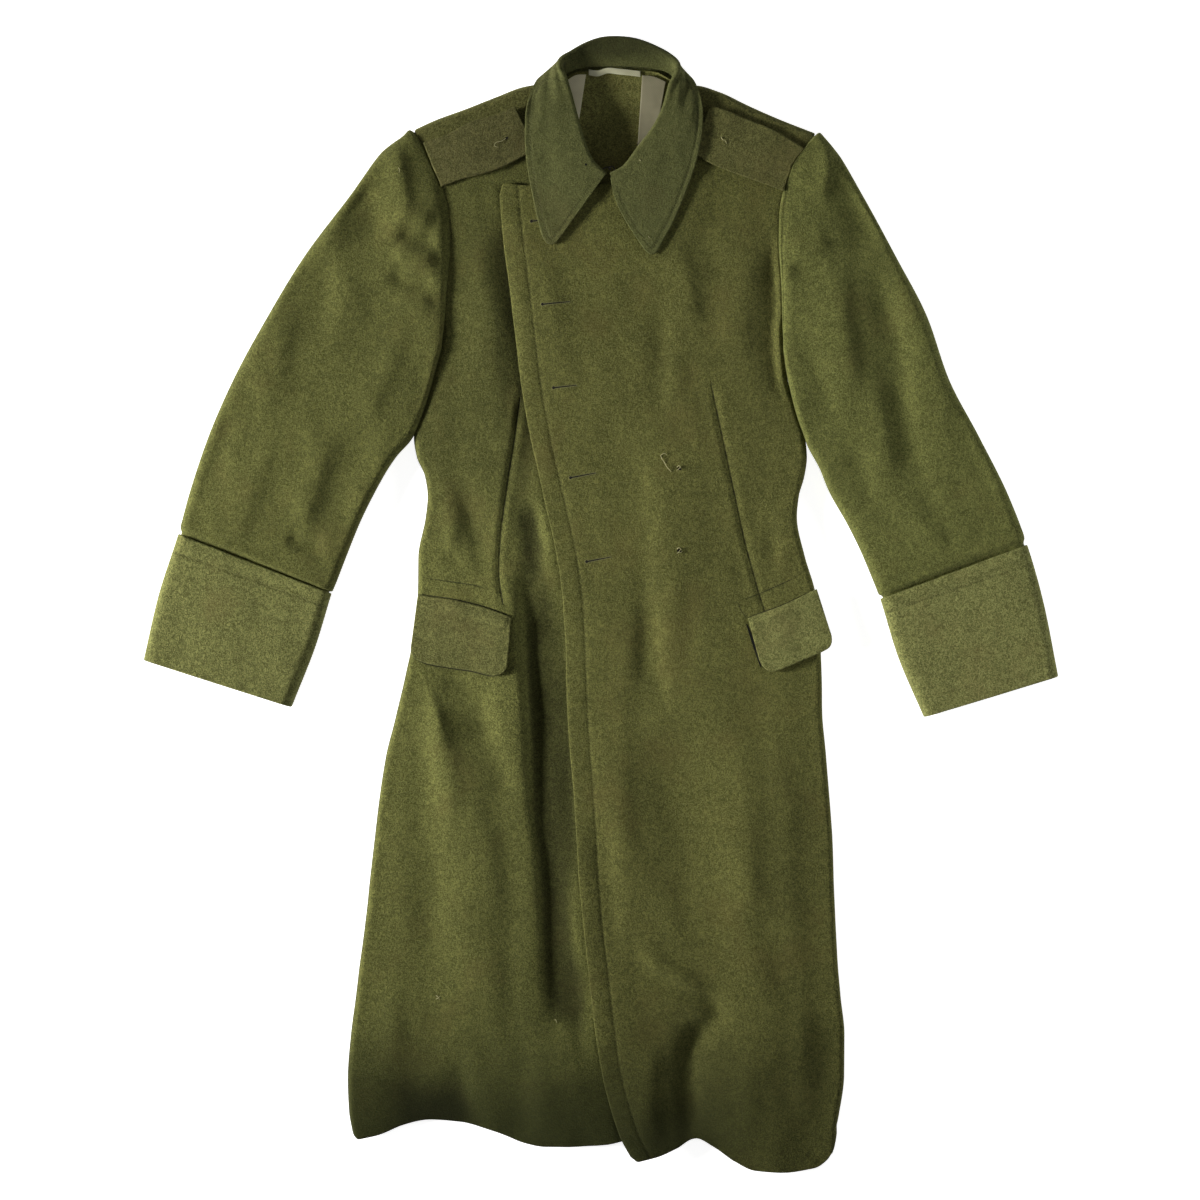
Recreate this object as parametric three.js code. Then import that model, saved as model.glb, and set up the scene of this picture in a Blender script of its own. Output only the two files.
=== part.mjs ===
// Military greatcoat laid flat on its back, double-breasted front closed, sleeves spread.
// Millimetres. +X runs to the right of the coat as it is looked down on, +Y runs from the hem to the
// collar, and +Z rises from the surface that the coat lies on, which is z = 0.
import * as THREE from 'three';

// Driving sizes
const WOOL = 2.6; // thickness of the heavy felted wool
const COLLAR_WOOL = 2.2; // collar cloth, pressed thinner
const LINING = 1.0;
const LINING_EASE = 0.5; // added to LAID_GAP under the lining
const TAPE = 0.9;
const SEAM_GAP = 0.35; // space left between two pieces at a seam
const FOLD_RADIUS = 7; // cloth turning at a side or a shoulder of the flattened coat
const CHEST_TOP = 15; // top face of the under front over the flattened body
const LAP_LIFT = 3.4; // the over front lies this much higher where it covers the under front
const LAP_WIDTH = 146; // how far the under front reaches past the edge of the over front
const COVERED_SINK = 2.2; // the under front lies lower by this where it is covered
const COVERED_SPREAD = 1.5; // its troughs are wider there by this factor
const SEAM_RETURN = 18; // strip of front cloth on the floor between a side fold and its seam
const ARMHOLE_RETURN = 0.5; // the same strip beside an armhole
const COLLAR_ROLL = 2.8; // radius of the collar's fold, to the middle of its cloth
const LAID_GAP = 0.97; // under a piece that lies on a panel
const ARMHOLE_GAP = 1.4; // between the back and a sleeve, round the hidden half of the armhole
const ARMHOLE_SEAM = 0.8; // between an armhole's line and the sleeve's end
const ARMHOLE_REACH = 0.42; // share of a sleeve's length over which the armhole's curve fades out
const FRONT_LENGTH = 1074; // up a side, from the hem to the shoulder seam
const SIDE_HEM = -590; // y of the hem at both sides
const SIDE_TOP = 516; // y where the back's fold over the shoulders starts at both sides
const ARMPIT = { low: 258, high: 326 }; // y range where the side folds give way to the armholes
const ARMHOLE_TURN = 0.15; // how far round the fronts turn along the armholes, in half turns
const BACK_ARMPIT = { low: 264, high: 296 }; // y range where the back widens to the armholes
const BACK_HEM_SHORT = 5; // the back ends this far above the front hem, out of sight
const EDGE_BAND = 45; // the fronts rise from a side fold to their full form over this distance
const LAP_FADE = { from: 8, to: 70 }; // how far past the under front the over front comes down
const LAP_REST = 0.1; // share of its lift that the over front keeps past the under front
const COVER_FADE = { from: -8, to: 18 }; // past the lap's edge, where the under front sinks
const CHEST_LAP = { width: 70, y: [280, 430] }; // the under front reaches further over the chest
const NECKLINE_FADE = { from: 463, to: 486 }; // y range where the lap comes down to the neckline
// The back lifts here for the collar's fall, which lies under it at the neck.
const NECK_LIFT = { height: 4.6, y: [530, 562], left: [-80, -52], right: [90, 118] };
const NECK_TOP = 600; // past the back's neckline
const CUFF_WOOL = 2.8; // two layers sewn flat
const CUFF_EASE = 0.6; // between a cuff and the sleeve in it
const CUFF_CROWN = 1.2; // a cuff is this much higher along its middle
const SLEEVE_CROWN = 2.5;
const SLEEVE_NARROWS = { from: -0.035, to: -0.005 }; // before the cuff, in shares of the sleeve
const TRIM_WOOL = 2.8; // shoulder straps and pocket flaps, two layers sewn flat
const STIFF_DROP = 2.5; // a flap bends down this far, no more, where it reaches a side fold
const WIRE = 0.65; // radius of the hook's and eye's wire

// Turns rows of numbers into objects with named columns.
const table = (names, rows) =>
  rows.map((row) => Object.fromEntries(names.map((name, column) => [name, row[column]])));

// Sides of the body and, above y = 290, the front armhole seams: y, then x on the left and right.
const SIDES = table(['y', 'left', 'right'], [
  [-590, -273, 261],
  [-563, -277, 264],
  [-519, -279, 269],
  [-475, -276, 269],
  [-431, -270, 265],
  [-343, -259, 259],
  [-255, -249, 256],
  [-167, -237, 249],
  [-123, -226, 245],
  [-79, -216, 244],
  [-35, -207, 242],
  [9, -202, 238],
  [53, -201, 226],
  [97, -193, 217],
  [119, -191, 219],
  [141, -194, 225],
  [163, -203, 228],
  [185, -206, 226],
  [212, -196, 217],
  [252, -185, 206],
  [290, -176, 203],
  [350, -171, 201],
  [400, -167.5, 198],
  [430, -169, 198.5],
  [457, -175.5, 203],
  [484, -187, 212],
  [505, -197, 228],
  [518, -206, 238],
]);

// Free edge of the over front, from its pointed foot to its top corner.
const LAP_EDGE = table(['y', 'x'], [
  [-614, 37],
  [-584, 21],
  [-511, 0],
  [-433, -10],
  [-325, -22],
  [-214, -29],
  [-135, -35],
  [1, -41],
  [64, -50],
  [108, -60],
  [180, -76],
  [234, -86],
  [332, -98],
  [434, -110],
  [459, -112],
]);

// Hem lines by x.
const HEM_UNDER = table(['x', 'y'], [
  [-273, -590],
  [-262, -588],
  [-246, -585],
  [-215, -574],
  [-182, -568],
  [-149, -570],
  [-116, -580],
  [-83, -593],
  [-60, -597],
  [0, -596],
  [40, -588],
  [110, -582],
  [190, -586],
]);
const HEM_OVER = table(['x', 'y'], [
  [37, -614],
  [65, -608],
  [90, -599],
  [115, -588],
  [131, -598],
  [148, -613],
  [170, -623],
  [200, -625.5],
  [235, -621],
  [250, -611],
  [261, -590],
]);

// Top edges by x: the shoulder seam under the strap, the neckline, then the top of the lap.
const TOP_UNDER = table(['x', 'y'], [
  [-187, 484],
  [-120, 508],
  [-62, 532],
  [-52, 502],
  [-42, 484],
  [-24, 468],
  [10, 463],
  [105, 455],
]);
const TOP_OVER = table(['x', 'y'], [
  [-112, 459],
  [-106, 464],
  [-82, 461],
  [22, 463],
  [50, 470],
  [72, 483],
  [88, 502],
  [101, 530],
  [150, 510],
  [212, 484],
]);

// The back's upper outline by x: its fold over each shoulder, and its neckline between them, with
// how far the cloth turns over there, in half turns.
const SHOULDERS = table(['x', 'y', 'turn'], [
  [-206, 523, 1],
  [-182, 534, 1],
  [-149, 546, 1],
  [-116, 559, 1],
  [-83, 571, 1],
  [-68, 573, 1],
  [-58, 573, 0.8],
  [-45, 576.5, 0.25],
  [-24, 586, 0.15],
  [24, 588.5, 0.15],
  [58, 587, 0.15],
  [84, 575, 0.25],
  [97, 572, 0.8],
  [105, 572, 1],
  [131, 565, 1],
  [164, 549.5, 1],
  [197, 535, 1],
  [238, 519, 1],
]);
const NECK_STEPS = { left: -64, right: 101 }; // x of the neckline's ends on the shoulders
const NECK_TURN_LENGTH = 2; // of the cloth past the turn along the neckline
const FOLD_STEPS = 5; // spans round a fold of the cloth

// Large folds in the fronts: a line on the coat, half its width, and its height, less than 0 for a
// trough.
const FOLDS = [
  {
    name: 'trough beside the lap',
    width: 11,
    height: -6.5,
    line: [[-84, 20], [-72, -110], [-64, -220], [-54, -330], [-50, -470]],
  },
  {
    name: 'ridge left of that trough',
    width: 9,
    height: 2.5,
    line: [[-98, 40], [-90, -60], [-80, -160]],
  },
  {
    name: 'chest trough',
    width: 13,
    height: -3.5,
    line: [[-112, 400], [-106, 300], [-98, 200]],
  },
  {
    name: 'ridge below the left flap',
    width: 16,
    height: 4,
    line: [[-196, -80], [-184, -127], [-168, -204], [-158, -262]],
  },
  {
    name: 'hollow below the left flap',
    width: 22,
    height: -3,
    line: [[-150, -95], [-130, -160]],
  },
  {
    name: 'left skirt ridge',
    width: 26,
    height: 3.5,
    line: [[-150, -270], [-140, -400], [-150, -480]],
  },
  {
    name: 'left hem hollow',
    width: 34,
    height: -3.5,
    line: [[-230, -500], [-185, -560], [-175, -600]],
  },
  {
    name: 'centre hem swell',
    width: 46,
    height: 5,
    line: [[-60, -500], [-48, -620]],
  },
  {
    name: 'curved crease',
    width: 12,
    height: -5.5,
    line: [[49, -408], [87, -424], [116, -434], [127, -453], [108, -475], [97, -505], [102, -610]],
  },
  {
    name: 'right hem swell',
    width: 44,
    height: 8,
    line: [[176, -430], [190, -540], [195, -640]],
  },
  {
    name: 'lap foot swell',
    width: 34,
    height: 4,
    line: [[50, -520], [54, -640]],
  },
  {
    name: 'right skirt ridge',
    width: 24,
    height: 3,
    line: [[150, -240], [165, -380], [172, -450]],
  },
  {
    name: 'waist trough',
    width: 11,
    height: -2.5,
    line: [[52, 90], [48, -60], [50, -120]],
  },
];
const TROUGHS = FOLDS.filter((fold) => fold.height < 0);
const FOLD_END = { height: 0.35, length: 0.25 }; // shares of a fold's height and length at its ends

// Sleeve sections from the shoulder to the cuff end: the outer and inner edge of the flattened
// tube, and its height.
const LEFT_SLEEVE = table(['outerX', 'outerY', 'innerX', 'innerY', 'height'], [
  [-207.5, 523, -178, 296, 14.5],
  [-218, 517, -180, 286, 18],
  [-240, 501, -184, 268, 19],
  [-278, 449, -196, 222, 18],
  [-327, 383, -211, 184, 18],
  [-367, 317, -236, 146, 19],
  [-403, 251, -264, 92, 19],
  [-432, 185, -281, 50, 19],
  [-453, 122, -291, 24, 20],
  [-465, 78, -296, 12, 21],
  [-487, 9, -313, -44, 23],
  [-503, -61, -340, -113, 24],
]);
const RIGHT_SLEEVE = table(['outerX', 'outerY', 'innerX', 'innerY', 'height'], [
  [239.5, 519, 205, 296, 14.5],
  [249, 515, 206, 286, 18],
  [264, 497, 208, 266, 20],
  [291, 449, 218, 218, 20],
  [327, 381, 234, 172, 19],
  [360, 317, 251, 126, 19],
  [384, 248, 271, 90, 20],
  [417, 185, 286, 60, 20],
  [449, 121, 297, 34, 20],
  [470, 66, 308, 6, 21],
  [488, 2, 327, -56, 23],
  [504, -79, 356, -124, 24],
]);
const CUFF_START = 9; // the section where the turned-back cuff begins

// Collar, round the neck from the left front to the right front: the centre line of its roll, the
// plan direction that points away from the neck, how far the roll has turned over from lying on
// the fronts (0) to lying under the back (180), the fall's free edge, and the neck seam.
const COLLAR = table(
  ['rollX', 'rollY', 'rollZ', 'out', 'lean', 'edgeX', 'edgeY', 'edgeZ', 'neckX', 'neckY', 'neckZ'], [
    [4.5, 470.5, 21.5, 234, 0, -49, 396, 20.4, -4, 467.5, 15.2],
    [-10, 485, 21.8, 215, 0, -66, 414, 20.4, -22, 471, 15],
    [-20, 506.5, 22, 200, 0, -75, 450, 20.6, -38.5, 487, 15],
    [-26.5, 529, 22, 190, 0, -81.5, 488, 21, -48.5, 506, 15],
    [-33, 553, 22, 185, 0, -83, 521, 21.4, -55, 530, 15],
    [-39, 577, 21.5, 172, 30, -80.5, 549, 21.2, -52, 556, 14],
    [-42, 594, 18.5, 150, 85, -70, 577, 12, -40.5, 581, 10],
    [-30.5, 606, 12.5, 125, 145, -51, 584, 2.2, -31, 588.5, 7.8],
    [-15, 616.2, 8, 105, 175, -24, 572, 1.2, -15, 592, 7.6],
    [4, 622.4, 6.6, 92, 180, 2, 568, 1.2, 4, 593, 7.6],
    [28, 622.4, 6.6, 88, 180, 29, 568, 1.2, 28, 593, 7.6],
    [49, 617.2, 8, 75, 175, 54, 572, 1.2, 50, 592, 7.6],
    [74.5, 603.8, 12.5, 55, 145, 89, 583, 2.2, 72, 587, 7.8],
    [85, 590, 18.5, 30, 85, 102, 577, 12, 81, 578, 10],
    [78, 570.5, 21.5, 8, 30, 111.5, 551, 21.2, 91, 553, 14],
    [71, 544.5, 22, -5, 0, 112, 521, 21.4, 94, 528, 15],
    [59.5, 522, 22, -12, 0, 106, 489, 21, 84, 505, 15],
    [43.5, 500.5, 22, -25, 0, 94, 453, 20.6, 68.5, 486, 15],
    [28, 480, 21.8, -42, 0, 74, 409, 20.4, 46, 473, 15],
    [11.5, 470.5, 21.5, -64, 0, 50, 387.5, 20.4, 21, 467.5, 15.2],
  ]);
const FALL_STEPS = 5; // spans of the fall between its roll and its free edge
const ROLL_STEPS = 4; // spans round the roll
const ROLL_LEAD = 1; // straight start of the fall before it turns round the roll

// Outlines of the pieces sewn on top, each as two long sides that a surface spans.
const LEFT_STRAP = {
  high: [[-195, 508], [-181, 512.5], [-168, 517], [-141, 531], [-116, 538], [-94, 547]],
  low: [[-176, 459], [-165, 463], [-154, 467], [-130, 473], [-109, 480], [-70, 500]],
};
const RIGHT_STRAP = {
  high: [[226, 501], [207, 512], [189, 522], [158, 535], [130, 546], [119, 545]],
  low: [[202, 454], [189, 459], [175, 464], [141, 476], [116, 487], [100, 497]],
};
const LEFT_FLAP = {
  high: [[-201, 11], [-198.5, 10.8], [-194, 10], [-181, 8],
    [-161, 5], [-135, -1], [-116, -7], [-98, -14]],
  low: [[-210, -57], [-207, -58.5], [-201, -61], [-190, -65],
    [-168, -69], [-141, -73], [-120, -78], [-103, -76]],
};
const RIGHT_FLAP = {
  high: [[162, -15], [181, -8], [198, -2], [217, 7], [228, 13], [232, 15.5], [234.5, 17]],
  low: [[177, -70], [190, -74], [209, -67], [228, -59], [240, -53], [248, -48], [254, -43]],
};
const LEFT_LINING = {
  high: [[-40, 575], [-28, 583], [-16, 584]],
  low: [[-44, 540], [-34, 534], [-24, 532]],
};
const RIGHT_LINING = {
  high: [[46, 583], [58, 582], [72, 576]],
  low: [[40, 492], [50, 497], [60, 508]],
};

// Middle line of the hanger tape, and how far it is tilted up from lying flat.
const HANGER = table(['x', 'y', 'z', 'tilt'], [
  [-13, 586.5, 9.1, 0],
  [-3, 585, 9.7, 10],
  [8, 588, 10.9, 30],
  [20, 587, 10.5, 10],
  [32, 586, 9.7, 0],
  [44, 584.5, 9.1, 0],
]);
const HANGER_WIDTH = 6.4;

// Bent wire of the hook and the eye at the collar's front.
const HOOK = [[2.5, 478, 20], [6, 480.2, 20], [9.6, 480.2, 20.8], [11.6, 478.8, 21.3],
  [9.2, 477.6, 21.6]];
const EYE = [[15.7, 477.2, 20.3], [13.6, 481, 18.8], [10.4, 481.4, 17.8], [8.8, 479.4, 17.6],
  [10.6, 477.6, 18]];

const WOOL_GREEN = 0x53532f;
const wool = (colour = WOOL_GREEN) =>
  new THREE.MeshStandardMaterial({ color: colour, roughness: 0.95, metalness: 0 });
const liningCloth = () =>
  new THREE.MeshStandardMaterial({ color: 0x6e6b57, roughness: 0.7, metalness: 0 });
const blackWire = () =>
  new THREE.MeshStandardMaterial({ color: 0x2a2a28, roughness: 0.45, metalness: 0.9 });

const mix = (a, b, t) => a + (b - a) * t;
const clamp = (value, low, high) => Math.min(high, Math.max(low, value));
const smooth = (low, high, value) => {
  const t = clamp((value - low) / (high - low), 0, 1);
  return t * t * (3 - 2 * t);
};
const radians = (degrees) => (degrees * Math.PI) / 180;

// Value of one column of a table where another has the value at, on a curve that never overshoots.
function read(rows, key, at, column) {
  const last = rows.length - 1;
  if (at <= rows[0][key]) return rows[0][column];
  if (at >= rows[last][key]) return rows[last][column];
  const i = rows.findIndex((row) => row[key] > at) - 1;
  const slope = (k) => (rows[k + 1][column] - rows[k][column]) / (rows[k + 1][key] - rows[k][key]);
  const tangent = (k) => {
    if (k === 0) return slope(0);
    if (k === last) return slope(last - 1);
    const before = slope(k - 1);
    const after = slope(k);
    return before * after <= 0 ? 0 : (2 * before * after) / (before + after);
  };
  const span = rows[i + 1][key] - rows[i][key];
  const t = (at - rows[i][key]) / span;
  const start = rows[i][column];
  const end = rows[i + 1][column];
  return start * (1 + 2 * t) * (1 - t) ** 2 + end * t * t * (3 - 2 * t)
    + span * (tangent(i) * t * (1 - t) ** 2 - tangent(i + 1) * t * t * (1 - t));
}

// Value of a column at a fraction of the way down a table's rows.
const readAlong = (rows, fraction, column) =>
  read(rows.map((row, index) => ({ ...row, index })), 'index', fraction * (rows.length - 1), column);

// Closed wall between an outer and an inner grid of points. A ring's last column joins its first.
function wall(outer, inner, ring = false) {
  const rows = outer.length;
  const columns = outer[0].length;
  const points = [...outer.flat(), ...inner.flat()];
  const at = (layer, i, j) => (layer * rows + i) * columns + (j % columns);
  const triangles = [];
  const quad = (a, b, c, d) => triangles.push([a, b, c], [a, c, d]);
  const spans = ring ? columns : columns - 1;
  for (let j = 0; j < spans; j += 1) {
    for (let i = 0; i < rows - 1; i += 1) {
      quad(at(0, i, j), at(0, i, j + 1), at(0, i + 1, j + 1), at(0, i + 1, j));
      quad(at(1, i, j), at(1, i + 1, j), at(1, i + 1, j + 1), at(1, i, j + 1));
    }
    quad(at(1, 0, j), at(1, 0, j + 1), at(0, 0, j + 1), at(0, 0, j));
    quad(at(0, rows - 1, j), at(0, rows - 1, j + 1), at(1, rows - 1, j + 1), at(1, rows - 1, j));
  }
  if (!ring) {
    const end = columns - 1;
    for (let i = 0; i < rows - 1; i += 1) {
      quad(at(0, i, 0), at(0, i + 1, 0), at(1, i + 1, 0), at(1, i, 0));
      quad(at(1, i, end), at(1, i + 1, end), at(0, i + 1, end), at(0, i, end));
    }
  }
  return solid(points, triangles);
}

// Geometry from points and triangles, turned so that its faces point outward.
function solid(points, triangles) {
  const corner = (index) => new THREE.Vector3(...points[index]);
  const volume = triangles.reduce((sum, [a, b, c]) =>
    sum + corner(a).dot(corner(b).cross(corner(c))), 0);
  const geometry = new THREE.BufferGeometry();
  geometry.setAttribute('position', new THREE.Float32BufferAttribute(points.flat(), 3));
  geometry.setIndex(triangles.flatMap(([a, b, c]) => (volume > 0 ? [a, b, c] : [a, c, b])));
  geometry.computeVertexNormals();
  return geometry;
}

// Distance from a point to a line of points, and how far along that line, from 0 to 1, it is.
function nearest(line, x, y) {
  let best = { distance: Infinity, along: 0 };
  for (let k = 0; k < line.length - 1; k += 1) {
    const [ax, ay] = line[k];
    const [bx, by] = line[k + 1];
    const lengthSquared = (bx - ax) ** 2 + (by - ay) ** 2;
    const t = clamp(((x - ax) * (bx - ax) + (y - ay) * (by - ay)) / lengthSquared, 0, 1);
    const distance = Math.hypot(x - mix(ax, bx, t), y - mix(ay, by, t));
    if (distance < best.distance) best = { distance, along: (k + t) / (line.length - 1) };
  }
  return best;
}

function foldHeight(x, y, spread = 1, folds = FOLDS) {
  return folds.reduce((sum, fold) => {
    const { distance, along } = nearest(fold.line, x, y);
    const fade = mix(FOLD_END.height, 1, smooth(0, FOLD_END.length, Math.min(along, 1 - along)));
    return sum + fold.height * fade * Math.exp(-((distance / (fold.width * spread)) ** 2));
  }, 0);
}

const lapEdge = (y) => read(LAP_EDGE, 'y', y, 'x');
const underEdge = (y) => lapEdge(y) + LAP_WIDTH + CHEST_LAP.width * smooth(...CHEST_LAP.y, y);

// The under front sinks a little and keeps only the troughs, wider, where the over front covers it.
const underTop = (x, y) => {
  const covered = smooth(COVER_FADE.from, COVER_FADE.to, x - lapEdge(y));
  const seen = foldHeight(x, y);
  const hidden = foldHeight(x, y, COVERED_SPREAD, TROUGHS) - COVERED_SINK;
  return CHEST_TOP + mix(seen, hidden, covered);
};
const overTop = (x, y) => {
  const past = smooth(LAP_FADE.from, LAP_FADE.to, x - underEdge(y));
  const lapped = mix(1, LAP_REST, past) * (1 - smooth(NECKLINE_FADE.from, NECKLINE_FADE.to, y));
  return CHEST_TOP + foldHeight(x, y) + LAP_LIFT * lapped;
};

// How far round a side the front cloth turns, in half turns: all the way to the floor below the
// armpit, and almost flat along the armhole.
const sideTurn = (y) => 1 - (1 - ARMHOLE_TURN) * smooth(ARMPIT.low, ARMPIT.high, y);

// Cloth turning down from a top face at height top, as distances outward and heights. The first
// point is the far end of the turned cloth, and depth is how deep in the wall the points lie.
function turned(turn, radius, top, flatLength, depth, steps) {
  const full = Math.PI * turn;
  const points = [];
  for (let k = 0; k <= steps; k += 1) {
    const angle = full * (1 - k / steps);
    const arm = radius - depth;
    points.push({ out: arm * Math.sin(angle), z: top - radius + arm * Math.cos(angle) });
  }
  const end = points[0];
  points.unshift({
    out: end.out + flatLength * Math.cos(full),
    z: end.z - flatLength * Math.sin(full),
  });
  return points;
}
const turnReach = (turn, flatLength) => {
  const full = Math.PI * turn;
  return full >= Math.PI / 2 ? FOLD_RADIUS : FOLD_RADIUS * Math.sin(full) + flatLength * Math.cos(full);
};

// Rows of a front, from the hem to the top, closer where the form changes quickly.
const FRONT_ROWS = [0, 0.025, 0.06, 0.1, 0.13, 0.16, 0.21, 0.27, 0.34, 0.41, 0.475, 0.53, 0.59,
  0.64, 0.685, 0.73, 0.77, 0.79, 0.807, 0.824, 0.841, 0.87, 0.92, 0.965, 1];

function frontPoint(panel, u, v) {
  const { side, edge, hem, top } = panel;
  const topX = mix(side(top.sideY), edge(top.edgeY), u);
  const hemX = mix(side(hem.sideY), edge(hem.edgeY), u);
  const y = mix(read(hem.rows, 'x', hemX, 'y'), read(top.rows, 'x', topX, 'y'), v);
  const turn = sideTurn(y);
  const flatLength = y < ARMPIT.low ? SEAM_RETURN : ARMHOLE_RETURN;
  const start = side(Math.min(y, top.sideY)) + panel.inward * turnReach(turn, flatLength);
  return { x: mix(start, edge(clamp(y, hem.edgeY, top.edgeY)), u), y, turn, flatLength, start };
}

function frontPanel(panel) {
  const grid = (depth) => FRONT_ROWS.map((v) => {
    const first = frontPoint(panel, 0, v);
    const fold = turned(first.turn, FOLD_RADIUS, 2 * FOLD_RADIUS, first.flatLength, depth, FOLD_STEPS)
      .map(({ out, z }) => [first.start - panel.inward * out, first.y, z]);
    const face = panel.columns.map((u) => {
      const { x, y, start } = frontPoint(panel, u, v);
      const inside = smooth(0, EDGE_BAND, Math.abs(x - start));
      const rise = inside * (panel.height(x, y) - 2 * FOLD_RADIUS);
      return [x, y, 2 * FOLD_RADIUS + rise - depth];
    });
    return [...fold, ...face];
  });
  return wall(grid(0), grid(WOOL));
}

const frontUnder = () => frontPanel({
  inward: 1,
  side: (y) => read(SIDES, 'y', y, 'left') + SEAM_GAP,
  edge: underEdge,
  hem: { rows: HEM_UNDER, sideY: -590, edgeY: -586 },
  top: { rows: TOP_UNDER, sideY: 484, edgeY: 455 },
  height: underTop,
  columns: [0.04, 0.1, 0.18, 0.27, 0.36, 0.42, 0.455, 0.49, 0.53, 0.58, 0.65, 0.72, 0.8, 0.87,
    0.94, 1],
});

const frontOver = () => frontPanel({
  inward: -1,
  side: (y) => read(SIDES, 'y', y, 'right') - SEAM_GAP,
  edge: lapEdge,
  hem: { rows: HEM_OVER, sideY: -590, edgeY: -614 },
  top: { rows: TOP_OVER, sideY: 484, edgeY: 459 },
  height: overTop,
  columns: [0.06, 0.13, 0.2, 0.27, 0.34, 0.385, 0.43, 0.5, 0.57, 0.64, 0.72, 0.8, 0.88, 0.95,
    0.98, 1],
});

const neckRaise = (x, y) => NECK_LIFT.height * smooth(...NECK_LIFT.y, y)
  * smooth(...NECK_LIFT.left, x) * (1 - smooth(...NECK_LIFT.right, x));

// Rows of the back by height up its sides, each beside a row of the fronts as far as the armpits.
const BACK_ROWS = [
  SIDE_HEM + BACK_HEM_SHORT,
  ...FRONT_ROWS.filter((v) => v > 0 && v < 0.9).map((v) => SIDE_HEM + v * FRONT_LENGTH),
  412, 446, 466, 484, 500, SIDE_TOP];
const BACK_COLUMNS = [0, 0.05, 0.14, 0.22, 0.28, 0.315, 0.345, 0.38, 0.45, 0.55, 0.62, 0.655,
  0.685, 0.72, 0.79, 0.88, 0.95, 1];

function back() {
  const hidden = FOLD_RADIUS + SEAM_RETURN + 3 * SEAM_GAP;
  const inset = (y) => mix(hidden, ARMHOLE_GAP, smooth(BACK_ARMPIT.low, BACK_ARMPIT.high, y));
  const across = (u, y) =>
    mix(read(SIDES, 'y', y, 'left') + inset(y), read(SIDES, 'y', y, 'right') - inset(y), u);
  // Where the cloth that has turned over a shoulder ends, beside the front's top edge.
  const seamBelow = (u, x, arcStart) => {
    if (x > NECK_STEPS.left && x < NECK_STEPS.right) return arcStart - NECK_TURN_LENGTH;
    const top = x < 0 ? TOP_UNDER : TOP_OVER;
    let y = arcStart;
    for (let k = 0; k < 8; k += 1) y = read(top, 'x', across(u, y), 'y') + 2 * SEAM_GAP;
    return y;
  };
  const column = (u, depth) => {
    const x = mix(SHOULDERS[0].x + 1, SHOULDERS[SHOULDERS.length - 1].x - 1, u);
    const fold = (name) => read(SHOULDERS, 'x', x, name);
    const hemX = across(u, SIDE_HEM);
    const hem = read(hemX < HEM_OVER[0].x ? HEM_UNDER : HEM_OVER, 'x', hemX, 'y') + BACK_HEM_SHORT;
    const turn = fold('turn');
    const radius = FOLD_RADIUS - neckRaise(x, NECK_TOP) / 2;
    const arcStart = fold('y') - radius * Math.sin(Math.min(turn, 0.5) * Math.PI);
    const rise = (y) => (y - BACK_ROWS[0]) / (SIDE_TOP - BACK_ROWS[0]);
    const toHem = (y) => (hem - BACK_ROWS[0]) * (1 - rise(y)) ** 3;
    const toFold = (y) => (arcStart - SIDE_TOP) * rise(y) ** 6;
    const lower = BACK_ROWS.map((y) => y + toHem(y) + toFold(y))
      .map((y) => [across(u, y), y, neckRaise(x, y) + depth]);
    const raise = neckRaise(x, arcStart);
    const turnedLength = arcStart - seamBelow(u, x, arcStart);
    const arc = turned(turn, radius, 2 * radius, turnedLength, depth, FOLD_STEPS)
      .reverse().slice(1)
      .map(({ out, z }) => [across(u, arcStart + out), arcStart + out, raise + 2 * radius - z]);
    return [...lower, ...arc];
  };
  const grid = (depth) => BACK_COLUMNS.map((u) => column(u, depth));
  return wall(grid(0), grid(WOOL));
}

// Loop of points round a flattened tube, across from the outer edge to the inner edge.
function tubeLoop(place, bottom, height, crown, depth) {
  const radius = height / 2;
  const loop = [];
  const add = (u, inward, z) => loop.push([...place(u, inward), z]);
  const round = (u, angle) => {
    const inward = radius - (radius - depth) * Math.cos(angle);
    add(u, inward, bottom + radius + (radius - depth) * Math.sin(angle));
  };
  const top = [0.08, 0.2, 0.35, 0.5, 0.65, 0.8, 0.92];
  const underside = [0.9, 0.7, 0.5, 0.3, 0.1];
  const turn = [90, 60, 25, -10, -45, -75].map(radians);
  top.forEach((u) => add(u, 0, bottom + height + crown * Math.sin(Math.PI * u) - depth));
  turn.forEach((angle) => round(1, angle));
  underside.forEach((u) => add(u, 0, bottom + depth));
  turn.reverse().forEach((angle) => round(0, angle));
  return loop;
}

// A sleeve's plan at a fraction of its length: the point u of the way from its outer edge to its
// inner edge. The armhole's curve bends the sections near the shoulder.
function sleevePlan(sleeve, column, fraction, shrink) {
  const value = (name) => readAlong(sleeve, fraction, name);
  const outer = new THREE.Vector2(value('outerX'), value('outerY'));
  const inner = new THREE.Vector2(value('innerX'), value('innerY'));
  const width = outer.distanceTo(inner);
  const across = inner.clone().sub(outer).divideScalar(width);
  const away = Math.sign(outer.x);
  const bend = (u) => {
    const y = mix(sleeve[0].outerY, sleeve[0].innerY, u);
    const straight = mix(sleeve[0].outerX, sleeve[0].innerX, u);
    const atSeam = read(SIDES, 'y', y, column) + ARMHOLE_SEAM * away - straight;
    return atSeam * (1 - smooth(0, ARMHOLE_REACH, fraction));
  };
  return (u, inward) => {
    const from = u < 0.5 ? outer : inner;
    const toward = u < 0.5 ? 1 : -1;
    const edge = u === 0 || u === 1;
    const step = edge ? shrink + inward : mix(shrink, width - shrink, Math.min(u, 1 - u));
    const point = from.clone().addScaledVector(across, toward * step);
    return [point.x + bend(u), point.y];
  };
}

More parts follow.
